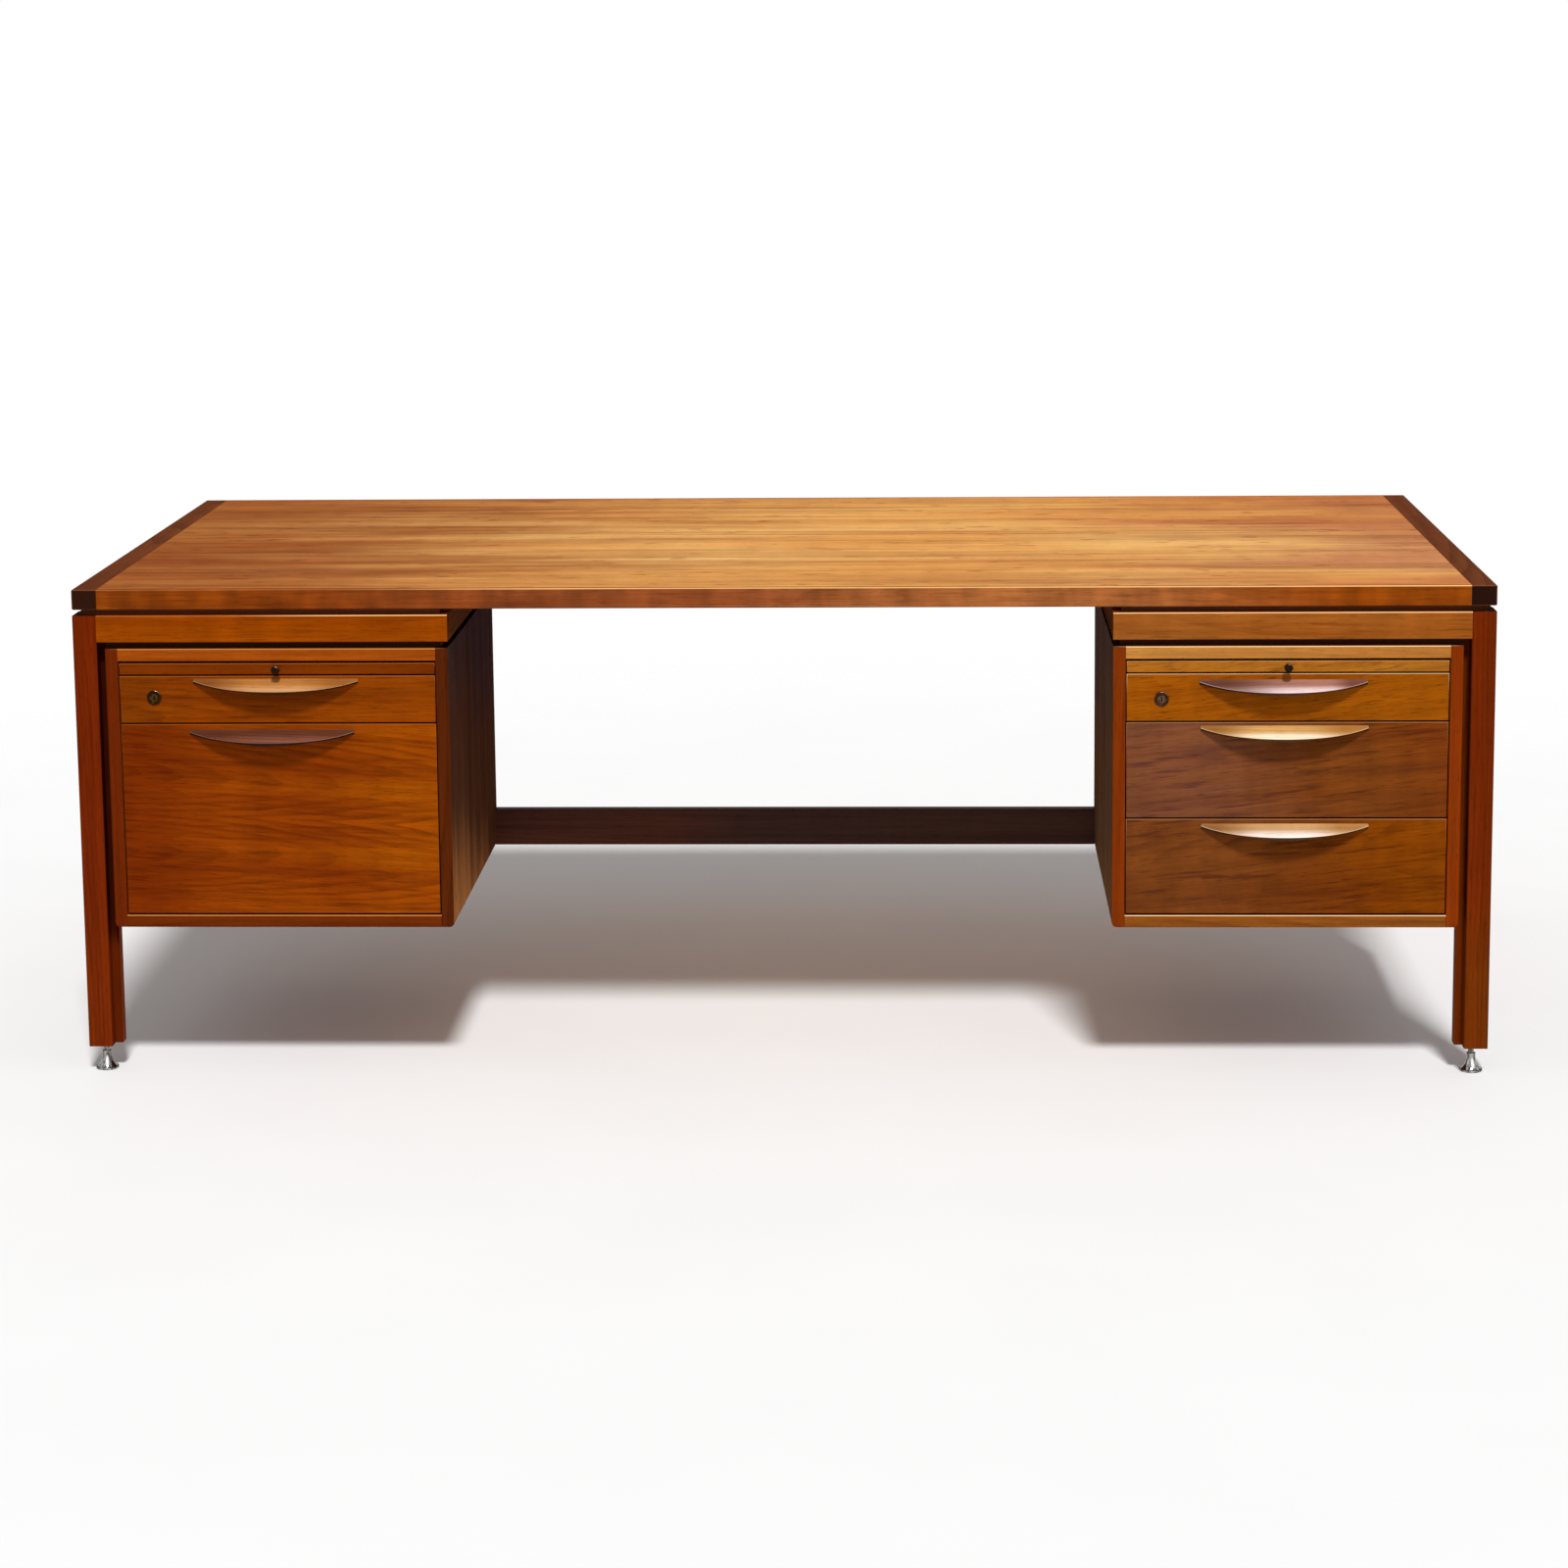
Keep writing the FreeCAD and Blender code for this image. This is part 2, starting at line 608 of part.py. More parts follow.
def make_case(side, holes):
    """The five panels of a pedestal."""
    case = side + "_case"
    level = side + "_lock_z"
    strike_depth = "bolt_throw - bolt_retreat - front_gap + strike_play"
    strike = box(side + "_strike",
                 (strike_depth + " + overrun", "bolt_thickness + 2 * strike_play",
                  "bolt_height + 2 * strike_play"),
                 (case + " + panel_thickness - (" + strike_depth + ")", "bolt_y - strike_play",
                  level + " - bolt_height / 2 - strike_play"))
    far_x = case + " + case_width - panel_thickness"
    panels = {
        "left": (("outer", case, "x-", [strike] + holes["left_leg"]),
                 ("inner", far_x, "x+", holes["left_stretcher"])),
        "right": (("inner", case, "x-", [strike] + holes["right_stretcher"]),
                  ("outer", far_x, "x+", holes["right_leg"])),
    }
    for place, x, outside, cutters in panels[side]:
        name = "%s_%s_side" % (side, place)
        board = box(name + "_board", ("panel_thickness", "case_depth", "case_height"),
                    (x, "face_y", "case_bottom"))
        turned = rounded(name + "_corner", board, ("case_corner", [(outside, "z-")]))
        soft = rounded(name + "_soft", turned, ("case_arris", [("y-",)]))
        node("pedestal_" + name, cut(name + "_cut", soft, *cutters))
    inside_x = case + " + panel_thickness"
    levels = (("top", "case_top - panel_thickness", holes[side + "_front"] + holes[side + "_rear"]),
              ("bottom", "case_bottom", []))
    for place, z, cutters in levels:
        name = "%s_%s" % (side, place)
        board = box(name + "_board", ("case_inside", "case_depth", "panel_thickness"),
                    (inside_x, "face_y", z))
        soft = rounded(name + "_soft", board, ("case_arris", [("y-", "z+"), ("y-", "z-")]))
        node("pedestal_" + name, cut(name + "_cut", soft, *cutters) if cutters else soft)
    node("pedestal_%s_back" % side,
         box(side + "_back_board", ("case_inside", "back_thickness", "case_height - 2 * panel_thickness"),
             (inside_x, "case_rear_inside", "case_bottom + panel_thickness")))


def make_runners(levels):
    """Wooden strips on the case sides: runners under the drawer boxes, supports under the slides."""
    strips = []
    length = "case_rear_inside - member_start"
    for side in ("left", "right"):
        shelves = [(z + " + box_lift - runner_play - runner_height", "runner_height", "runner_reach")
                   for z in levels[side]]
        shelves.append(("slide_z - runner_play - support_height", "support_height", "support_reach"))
        for number, (z, height, reach) in enumerate(shelves):
            near_x = side + "_case + panel_thickness"
            far_x = side + "_case + case_width - panel_thickness - " + reach
            for place, x in (("near", near_x), ("far", far_x)):
                strips.append(box("%s_%s_runner_%d" % (side, place, number), (reach, length, height),
                                  (x, "member_start", z)))
    node("drawer_runners", group("runners", strips))


def make_slide(side):
    """A pull-out writing slide with its knob."""
    board = box(side + "_slide_board", ("front_width", "slide_depth", "slide_thickness"),
                (side + "_case + panel_thickness + front_gap", "front_y", "slide_z"))
    soft = rounded(side + "_slide_soft", board, ("slide_arris", [("y-",)]))
    x = side + "_case + case_width / 2"
    z = "slide_z + slide_thickness / 2"
    hole = rod(side + "_knob_hole", "y", "knob_stem_radius + knob_stem_fit",
               (x, "front_y - overrun", z), "knob_stem_length + overrun")
    node("writing_slide_" + side, cut(side + "_slide_bored", soft, hole))
    body = doc.addObject("PartDesign::Body", side + "_knob_body")
    shoulder = "knob_stem_length + knob_neck_length"
    tip = shoulder + " + knob_head_length"
    drawing = outline(body, "XZ_Plane", side + "_knob_section", [
        ("0", "0"), ("knob_stem_radius", "0"), ("knob_stem_radius", "knob_stem_length"),
        ("knob_neck_radius", "knob_stem_length"), ("knob_neck_radius", shoulder),
        ("knob_head_radius", shoulder), ("knob_head_radius", tip), ("0", tip)])
    turning = body.newObject("PartDesign::Revolution", side + "_knob_turning")
    turning.Profile = drawing
    turning.ReferenceAxis = (drawing, ["V_Axis"])
    turning.Angle = 360
    doc.recompute()
    rim = [number for number, edge in enumerate(turning.Shape.Edges, start=1)
           if edge.Curve.TypeId == "Part::GeomCircle"
           and abs(edge.Curve.Radius - SIZES["knob_head_radius"]) < SIZES["knob_head_radius"] * NEAR_SHARE]
    soft = body.newObject("PartDesign::Fillet", side + "_knob_soft")
    soft.Base = (turning, ["Edge%d" % number for number in rim])
    bind(soft, Radius="knob_rounding")
    body.Placement = FreeCAD.Placement(FreeCAD.Vector(), AXES["-y"])
    move(body, (x, "front_y + knob_stem_length", z))
    node("slide_knob_" + side, body)


def make_front(name, case, low, height, cutters):
    """A drawer front with eased front edges and whatever is cut into it."""
    board = box(name + "_board", ("front_width", "front_thickness", height),
                (case + " + panel_thickness + front_gap", "front_y", low))
    soft = rounded(name + "_soft", board, ("front_arris", [("y-",)]))
    node(name + "_front", cut(name + "_front_cut", soft, *cutters) if cutters else soft)


def make_box(name, case, low, height, gap):
    """A drawer box of two sides, a back and a bottom."""
    x = case + " + panel_thickness + " + gap
    width = "(case_inside - 2 * " + gap + ")"
    inside = width + " - 2 * box_side"
    z = low + " + box_lift"
    tall = height + " - box_drop"
    boards = [
        box(name + "_near_side", ("box_side", "box_depth", tall), (x, "front_back", z)),
        box(name + "_far_side", ("box_side", "box_depth", tall),
            (x + " + " + width + " - box_side", "front_back", z)),
        box(name + "_back", (inside, "box_side", tall),
            (x + " + box_side", "front_back + box_depth - box_side", z)),
        box(name + "_bottom", (inside, "box_depth - box_side", "box_bottom"),
            (x + " + box_side", "front_back", z + " + bottom_lift")),
    ]
    node(name + "_box", group(name + "_boards", boards))


def make_pull(name, middle, top):
    """A carved crescent pull: dished above, undercut and grooved below, drawn out to two tips."""
    lip_y = "front_y - pull_projection"
    low = top + " - pull_height"
    start = middle + " - pull_length / 2"
    body = doc.addObject("PartDesign::Body", name + "_pull_body")
    drawing = outline(body, "YZ_Plane", name + "_pull_section", [
        ("0", "overrun - pull_fall"), ("overrun + pull_projection", "overrun + pull_height - pull_back"),
        ("overrun + pull_projection", "overrun + pull_height"), ("0", "overrun + pull_height")])
    pad = body.newObject("PartDesign::Pad", name + "_pull_pad")
    pad.Profile = drawing
    bind(pad, Length="pull_length")
    move(body, (start, lip_y + " - overrun", low + " - overrun"))
    past = "pull_length + 2 * overrun"
    dish = rod(name + "_pull_dish", "x", "pull_dish_radius",
               (start + " - overrun",
                lip_y + " + pull_projection / 2 - pull_dish_away * pull_slope / pull_chord",
                low + " + pull_lip + pull_slope / 2 + pull_dish_away * pull_projection / pull_chord"), past)
    groove = rod(name + "_pull_groove", "x", "pull_groove_radius",
                 (start + " - overrun", lip_y + " + (pull_projection + pull_undercut) / 2",
                  low + " + (pull_height - pull_back) / 2 + pull_groove_depth - pull_groove_radius"), past)
    plan = doc.addObject("Part::Cone", name + "_pull_plan")
    bind(plan, Radius1="pull_plan_radius - pull_lean * (pull_lip + overrun)",
         Radius2="pull_plan_radius + pull_lean * (pull_height + overrun - pull_lip)",
         Height="pull_height + 2 * overrun")
    move(plan, (middle, lip_y + " + pull_plan_radius", low + " - overrun"))
    crescent = rod(name + "_pull_crescent", "y", "pull_front_radius",
                   (middle, lip_y + " - overrun", low + " + pull_front_radius"),
                   "pull_projection + 2 * overrun")
    dished = cut(name + "_pull_dished", body, dish)
    grooved = cut(name + "_pull_grooved", dished, groove)
    node(name + "_pull", common(name + "_pull_carved", grooved, plan, crescent))


def make_lock(side):
    """A drawer lock: case with rim and back plate, turning plug with a crank pin, sliding bolt."""
    edge = side + "_case + panel_thickness + front_gap"
    level = side + "_lock_z"
    x = edge + " + lock_inset"
    rim = rod(side + "_lock_rim", "y", "lock_rim_radius", (x, "front_y - lock_rim_height", level),
              "lock_rim_height")
    barrel = rod(side + "_lock_barrel", "y", "lock_barrel_radius", (x, "front_y", level),
                 "front_thickness - channel_depth")
    bore = rod(side + "_lock_bore", "y", "plug_radius + plug_fit",
               (x, "front_y - lock_rim_height - overrun", level), "front_thickness + 2 * overrun")
    shell = cut(side + "_lock_shell", fuse(side + "_lock_blank", rim, barrel), bore)
    plate = box(side + "_lock_plate", ("plate_end - plate_start", "plate_thickness", "plate_height"),
                (edge + " + plate_start", "front_back", level + " - plate_height / 2"))
    node("lock_case_" + side, group(side + "_lock_parts", [shell, plate]))

    face = "front_y - lock_rim_height - plug_proud"
    core = rod(side + "_plug_core", "y", "plug_radius", (x, face, level),
               "lock_rim_height + plug_proud + front_thickness - channel_depth + crank_disc_thickness")
    disc = rod(side + "_plug_disc", "y", "crank_disc_radius", (x, "barrel_end + plug_fit", level),
               "crank_disc_thickness")
    pin_rod = rod(side + "_plug_pin", "y", "crank_pin_radius",
                  (x + " + crank_lead", "barrel_end + plug_fit", level + " + crank_rise"),
                  "crank_disc_thickness + crank_pin_length")
    keyway = box(side + "_plug_keyway", ("keyway_width", "keyway_depth + overrun", "keyway_height"),
                 (x + " - keyway_width / 2", face + " - overrun", level + " - keyway_height / 2"))
    blank = fuse(side + "_plug_blank", core, disc, pin_rod)
    node("lock_plug_" + side, cut(side + "_plug_cut", blank, keyway))

    bar = box(side + "_bolt_bar", ("lock_inset + bolt_tail - bolt_retreat", "bolt_thickness", "bolt_height"),
              (edge + " + bolt_retreat", "bolt_y", level + " - bolt_height / 2"))
    slot = box(side + "_bolt_slot", ("pin_slot", "bolt_thickness + 2 * overrun", "bolt_slot_height"),
               (x + " + crank_lead - pin_slot / 2", "bolt_y - overrun", level + " + bolt_slot_rise"))
    node("lock_bolt_" + side, cut(side + "_bolt_cut", bar, slot))


def lock_cutters(side):
    """The bore and the bolt channel of a locked drawer front."""
    edge = side + "_case + panel_thickness + front_gap"
    level = side + "_lock_z"
    bore = rod(side + "_front_bore", "y", "lock_barrel_radius + lock_barrel_fit",
               (edge + " + lock_inset", "front_y - overrun", level), "front_thickness + 2 * overrun")
    trough = box(side + "_front_trough",
                 ("lock_inset + bolt_tail + bolt_play + overrun", "channel_depth + overrun",
                  "bolt_height + 2 * bolt_play"),
                 (edge + " - overrun", "barrel_end", level + " - bolt_height / 2 - bolt_play"))
    return [fuse(side + "_front_cutter", bore, trough)]


def channel(name, x, width, inset, opens_right):
    """One channel of a telescopic slide, nested by its inset from the outer member."""
    low = "lower_z + (file_height - member_height) / 2 + " + inset
    tall = "member_height - 2 * (" + inset + ")"
    block = box(name + "_block", (width, "member_length", tall), (x, "member_start", low))
    hollow_x = x + (" + member_wall" if opens_right else " - member_wall")
    hollow = box(name + "_hollow", (width, "member_length + 2 * overrun", tall + " - 2 * member_wall"),
                 (hollow_x, "member_start - overrun", low + " + member_wall"))
    return cut(name, block, hollow)


def make_file_slides():
    """Outer, middle and inner members on both sides of the file drawer."""
    near = "left_case + panel_thickness"
    far = "left_case + case_width - panel_thickness"
    inner_width = "member_space - 2 * member_nest"
    outer = [channel("outer_near", near, "member_flange", "0", True),
             channel("outer_far", far + " - member_flange", "member_flange", "0", False)]
    middle = [channel("middle_near", near + " + member_nest", "member_flange", "member_nest", True),
              channel("middle_far", far + " - member_nest - member_flange", "member_flange",
                      "member_nest", False)]
    inner = [channel("inner_near", near + " + 2 * member_nest", inner_width, "2 * member_nest", False),
             channel("inner_far", far + " - member_space", inner_width, "2 * member_nest", True)]
    node("file_slide_outer", group("outer_members", outer))
    node("file_slide_middle", group("middle_members", middle))
    node("file_slide_inner", group("inner_members", inner))


DRAWERS = (
    ("left_top", "left", "top_drawer_z", "top_drawer_height", "front_gap"),
    ("left_file", "left", "lower_z", "file_height", "member_space"),
    ("right_top", "right", "top_drawer_z", "top_drawer_height", "front_gap"),
    ("right_middle", "right", "middle_z", "deep_height", "front_gap"),
    ("right_bottom", "right", "lower_z", "deep_height", "front_gap"),
)


def make_drawers():
    """Fronts, boxes and pulls of the five drawers."""
    for name, side, low, height, gap in DRAWERS:
        case = side + "_case"
        cutters = lock_cutters(side) if low == "top_drawer_z" else []
        make_front(name, case, low, height, cutters)
        make_box(name, case, low, height, gap)
        make_pull(name, case + " + case_width / 2 + " + name + "_pull_shift",
                  low + " + " + height + " - " + name + "_pull_set")


def main():
    """Build every sub-part, check it and write it."""
    make_top()
    make_spacers()
    holes = make_screws()
    make_frame(holes)
    make_legs(holes)
    levels = {"left": ["top_drawer_z"], "right": ["top_drawer_z", "middle_z", "lower_z"]}
    make_runners(levels)
    make_file_slides()
    make_drawers()
    for side in ("left", "right"):
        make_case(side, holes)
        make_slide(side)
        make_lock(side)
    doc.recompute()
    for item in doc.Objects:
        if "Invalid" in item.State or "Error" in item.State:
            raise RuntimeError("%s failed: %s" % (item.Label, item.State))
    os.makedirs("parts", exist_ok=True)
    for piece in nodes:
        shape = piece.Shape
        if shape.isNull() or not shape.isValid():
            raise RuntimeError(piece.Label + " has no valid shape")
    for piece in nodes:
        piece.Shape.exportStep("parts/%s.step" % piece.Label)
    print(len(nodes), "sub-parts written")


main()
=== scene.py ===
"""Looks of a walnut executive desk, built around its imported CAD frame."""
import json
import logging
import math
from dataclasses import dataclass, field, replace
from enum import Enum
from typing import Callable, Dict, Iterable, List, Optional, Sequence, Tuple, TypeVar, Union

import bmesh
import bpy
from mathutils import Matrix, Vector


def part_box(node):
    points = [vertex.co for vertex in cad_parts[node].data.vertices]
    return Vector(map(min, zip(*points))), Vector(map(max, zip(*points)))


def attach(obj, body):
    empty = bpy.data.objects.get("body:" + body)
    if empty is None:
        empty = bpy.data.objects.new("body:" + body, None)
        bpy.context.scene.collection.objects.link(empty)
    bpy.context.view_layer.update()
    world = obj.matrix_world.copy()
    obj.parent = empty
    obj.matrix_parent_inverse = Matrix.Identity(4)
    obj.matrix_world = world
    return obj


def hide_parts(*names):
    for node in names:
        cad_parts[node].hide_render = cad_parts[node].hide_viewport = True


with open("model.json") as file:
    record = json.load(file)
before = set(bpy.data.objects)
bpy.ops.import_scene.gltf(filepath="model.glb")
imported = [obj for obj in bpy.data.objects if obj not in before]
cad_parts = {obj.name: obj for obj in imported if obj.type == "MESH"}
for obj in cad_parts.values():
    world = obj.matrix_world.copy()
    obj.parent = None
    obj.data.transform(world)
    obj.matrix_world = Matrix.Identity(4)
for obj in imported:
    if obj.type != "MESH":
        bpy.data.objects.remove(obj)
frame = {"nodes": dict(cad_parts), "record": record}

Colour = Tuple[float, float, float]
Pair = Tuple[float, float]
Span = Tuple[float, float, float, float]
Socket = bpy.types.NodeSocket
Value = Union[float, Socket]
Tint = Union[Colour, Socket]
Face = bmesh.types.BMFace
Work = bmesh.types.BMesh
FacePick = Callable[[Face, Vector, Vector], bool]

LOG = logging.getLogger("desk")
MM = 0.001
WELD = 1e-6
HALVINGS = 48
TURNING_STEPS = 72
SMOOTH_ANGLE = math.radians(32)
FLAT_SHARE = 0.985
END_SHARE = 0.9
FRONT_FACING = -0.3
FRONT_DEPTH = 5.0 * MM
RABBET_WIDTH = 13.0 * MM
RABBET_DEPTHS: Pair = (2.5 * MM, 23.0 * MM)
SEED_STEP = 1.618
ALONG_X: Colour = (1.0, 0.0, 0.0)
ALONG_Z: Colour = (0.0, 0.0, 1.0)
ZERO: Colour = (0.0, 0.0, 0.0)
PLAIN: Colour = (1.0, 1.0, 1.0)
FORWARD = Matrix.Rotation(math.pi / 2, 3, "X")
UPRIGHT = Matrix.Identity(3)
BODY_OF: Dict[str, str] = {node: body for body, nodes in frame["record"]["behaviour"]["bodies"].items()
                           for node in nodes}


class Side(Enum):
    """An end of the desk, as seen from its drawers."""

    LEFT = "left"
    RIGHT = "right"


class Panel(Enum):
    """A panel of a pedestal."""

    OUTER_SIDE = "outer_side"
    INNER_SIDE = "inner_side"
    TOP = "top"
    BOTTOM = "bottom"
    BACK = "back"


class Grain(Enum):
    """The way that the fibres of a board run, with the turn that lays them along X and its face flat."""

    X = (0.0, 0.0, 0.0)
    X_UPRIGHT = (-math.pi / 2, 0.0, 0.0)
    Y = (0.0, 0.0, -math.pi / 2)
    Z = (0.0, math.pi / 2, 0.0)

    @property
    def axis(self) -> int:
        """The number of the axis, 0 to 2."""
        return "XYZ".index(self.name[0])

    @classmethod
    def longest(cls, size: Vector) -> "Grain":
        """The way along the longest side of a board of this size."""
        return cls["XYZ"[max(range(3), key=lambda i: size[i])]]


class Blend(Enum):
    """How one colour goes over another."""

    COVER = "MIX"
    MULTIPLY = "MULTIPLY"


@dataclass(frozen=True)
class Pattern:
    """A noise in cycles per metre along each axis, and the ramp that it is read through."""

    size: Colour
    offset: int
    detail: float = 2.0
    rough: float = 0.5
    ramp: Pair = (0.0, 1.0)


def fibres(along: float, across: float) -> Colour:
    """The cycles of a pattern that is drawn out along the fibres."""
    return along, across, across


class Graph:
    """A node tree with short calls for adding and linking its nodes."""

    MIX_INPUTS = (0, 6, 7)
    MIX_OUTPUT = 2

    def __init__(self, tree: bpy.types.NodeTree) -> None:
        """Keep the tree that the calls work on."""
        self.tree = tree

    def put(self, value: Union[Value, Sequence[float]], socket: Socket) -> None:
        """Give an input its value.

        Args:
            value: An output socket to link, or a constant to set.
            socket: The input.
        """
        if isinstance(value, bpy.types.NodeSocket):
            self.tree.links.new(value, socket)
        else:
            socket.default_value = value

    def add(self, kind: str, inputs: Optional[dict] = None, **settings: object) -> bpy.types.Node:
        """Add a node.

        Args:
            kind: The node's type name.
            inputs: Values or output sockets for its inputs, by name or number.
            settings: Properties of the node itself.

        Returns:
            The new node.
        """
        node = self.tree.nodes.new(kind)
        for key, value in settings.items():
            setattr(node, key, value)
        for key, value in (inputs or {}).items():
            self.put(value, node.inputs[key])
        return node

    def out(self, kind: str, inputs: Optional[dict] = None, **settings: object) -> Socket:
        """Add a node and return its first output."""
        return self.add(kind, inputs, **settings).outputs[0]

    def math(self, operation: str, first: Value, second: Value = 0.0) -> Socket:
        """The result of an operation on two numbers."""
        return self.out("ShaderNodeMath", {0: first, 1: second}, operation=operation)

    def vector(self, operation: str, first: Socket, second: Union[Tint, Vector] = ZERO) -> Socket:
        """The result of an operation on two vectors.

        Args:
            operation: The operation's name.
            first: The first vector.
            second: The second one, where the operation takes two.

        Returns:
            The socket of the vector, or of the number where the operation gives one.
        """
        node = self.add("ShaderNodeVectorMath", {0: first, 1: second}, operation=operation)
        return node.outputs["Value" if operation in ("DOT_PRODUCT", "LENGTH") else "Vector"]

    def spread(self, value: Value, ramp: Pair, shown: Pair = (0.0, 1.0)) -> Socket:
        """Stretch a value, eased at both ends.

        Args:
            value: The value.
            ramp: The two values that it is stretched between.
            shown: What these two become.

        Returns:
            The socket of the stretched value.
        """
        inputs = {"Value": value, "From Min": ramp[0], "From Max": ramp[1],
                  "To Min": shown[0], "To Max": shown[1]}
        return self.out("ShaderNodeMapRange", inputs, interpolation_type="SMOOTHSTEP")

    def blend(self, share: Value, first: Tint, second: Tint, way: Blend = Blend.COVER) -> Socket:
        """Mix two colours.

        Args:
            share: How much of the second one shows.
            first: The first colour.
            second: The second colour.
            way: How the second one goes over the first.

        Returns:
            The socket of the mixed colour.
        """
        node = self.add("ShaderNodeMix", data_type="RGBA", blend_type=way.value)
        for number, value in zip(self.MIX_INPUTS, (share, first, second)):
            self.put((*value, 1.0) if isinstance(value, tuple) else value, node.inputs[number])
        return node.outputs[self.MIX_OUTPUT]

    def tint(self, colour: Tint, gain: Tint) -> Socket:
        """A colour multiplied by another."""
        return self.blend(1.0, colour, gain, Blend.MULTIPLY)

    def grey(self, value: Socket) -> Socket:
        """A grey of the given brightness."""
        return self.out("ShaderNodeCombineColor", {0: value, 1: value, 2: value})

    def noise(self, line: Socket, pattern: Pattern, seed: float) -> bpy.types.Node:
        """Add a noise.

        Args:
            line: The coordinates that it follows.
            pattern: Its sizes.
            seed: The number that makes it differ from others of its pattern.

        Returns:
            The noise node.
        """
        scaled = self.vector("MULTIPLY", line, pattern.size)
        return self.add("ShaderNodeTexNoise", {"Vector": scaled, "W": seed + pattern.offset, "Scale": 1.0,
                                               "Detail": pattern.detail, "Roughness": pattern.rough},
                        noise_dimensions="4D")

    def level(self, line: Socket, pattern: Pattern, seed: float) -> Socket:
        """The bare value of a noise."""
        return self.noise(line, pattern, seed).outputs[0]

    def mask(self, line: Socket, pattern: Pattern, seed: float) -> Socket:
        """The value of a noise, read through its pattern's ramp."""
        return self.spread(self.level(line, pattern, seed), pattern.ramp)


def new_material(name: str) -> Tuple[bpy.types.Material, Graph, bpy.types.Node]:
    """Make an empty node material.

    Args:
        name: The material's name.

    Returns:
        The material, its graph and its shader node.
    """
    material = bpy.data.materials.new(name)
    material.use_nodes = True
    return material, Graph(material.node_tree), material.node_tree.nodes["Principled BSDF"]


Finish = TypeVar("Finish", "WoodFinish", "MetalFinish")


def gained(finish: Finish, parts: Sequence[str], gain: Colour) -> Finish:
    """Multiply some colours of a finish.

    Args:
        finish: The finish.
        parts: The names of the colours.
        gain: What each of them is multiplied by.

    Returns:
        The new finish.
    """
    tones = {part: tuple(a * b for a, b in zip(getattr(finish, part), gain)) for part in parts}
    return replace(finish, **tones)


# Drifts carry the wood's own changes of tone together with the uneven light and shade on the desk, painted
# into the colour
@dataclass(frozen=True)
class Drift:
    """A change of tone towards one side of a board, in metres from its middle, with a ragged edge."""

    gain: Colour
    start: float
    end: float
    way: Colour = ALONG_X
    stray: float = 0.25


def both_ends(first: Colour, second: Colour, at: Span = (-0.24, -0.05, 0.05, 0.24), way: Colour = ALONG_X,
              stray: float = 0.25) -> Tuple[Drift, Drift]:
    """Drifts towards the two ends of a board.

    Args:
        first: The gain at the low end.
        second: The gain at the high end.
        at: Where the low one is full and begins, and where the high one begins and is full.
        way: The direction from the low to the high end.
        stray: How far the edges wander.

    Returns:
        The two drifts.
    """
    low_full, low_start, high_start, high_full = at
    return Drift(first, low_start, low_full, way, stray), Drift(second, high_start, high_full, way, stray)


# Figure that all the woods share
CLOUD = Pattern(fibres(1.1, 4.0), offset=8, ramp=(0.36, 0.66))
THREAD = Pattern(fibres(7.0, 480.0), offset=5, detail=3.0, rough=0.6)
PORES = Pattern(fibres(55.0, 1500.0), offset=6, detail=1.0, ramp=(0.60, 0.70))
LOG_BEND = Pattern(fibres(0.9, 3.0), offset=1, detail=1.5)
RIPPLE = Pattern(fibres(3.0, 60.0), offset=2)
SLOW_RIPPLE = Pattern(fibres(1.6, 16.0), offset=10)
YEARS = Pattern(fibres(1.8, 30.0), offset=11, ramp=(0.40, 0.66))
RIPPLE_YEARS = 0.7
SLOW_YEARS = 3.0
LATEWOOD: Pair = (0.30, 0.92)
YEAR_END: Pair = (0.93, 1.0)
YEAR_SHOWN: Pair = (0.12, 1.0)
BEND_REACH = 4.0
LEAN_STEP = 2.3
SWAY_STEP = 1.7
RAGGED_RUN = 1.4
NOISE_MIDDLE = 0.5
BAND_SHARE = 0.55
GLEAM_SHARE = 0.8
GLEAM_WIDTH = 0.8
PORE_DEPTH = 0.35
THREAD_RAMP: Pair = (0.25, 0.75)
THREAD_SHADE: Pair = (0.86, 1.10)
POLISH_RAMP: Pair = (0.2, 0.8)
PORE_ROUGHNESS = 0.12
THREAD_RELIEF = 0.3
WOOD_BUMP = {"Strength": 0.12, "Distance": 0.4 * MM}
# Upward faces that take the painted highlight of a crest colour
PAINTED_HIGHLIGHT_RAMP: Pair = (0.78, 0.995)
# Downward faces that take painted shade
UNDER_SHADE_RAMP: Pair = (-0.5, -0.05)
# Upward rounded edges that take a painted highlight, and how it fades in along a board
LIT_EDGE_RAMP: Pair = (0.15, 0.6)
ARRIS_HIGHLIGHT_SHOWN: Pair = (0.12, 1.0)


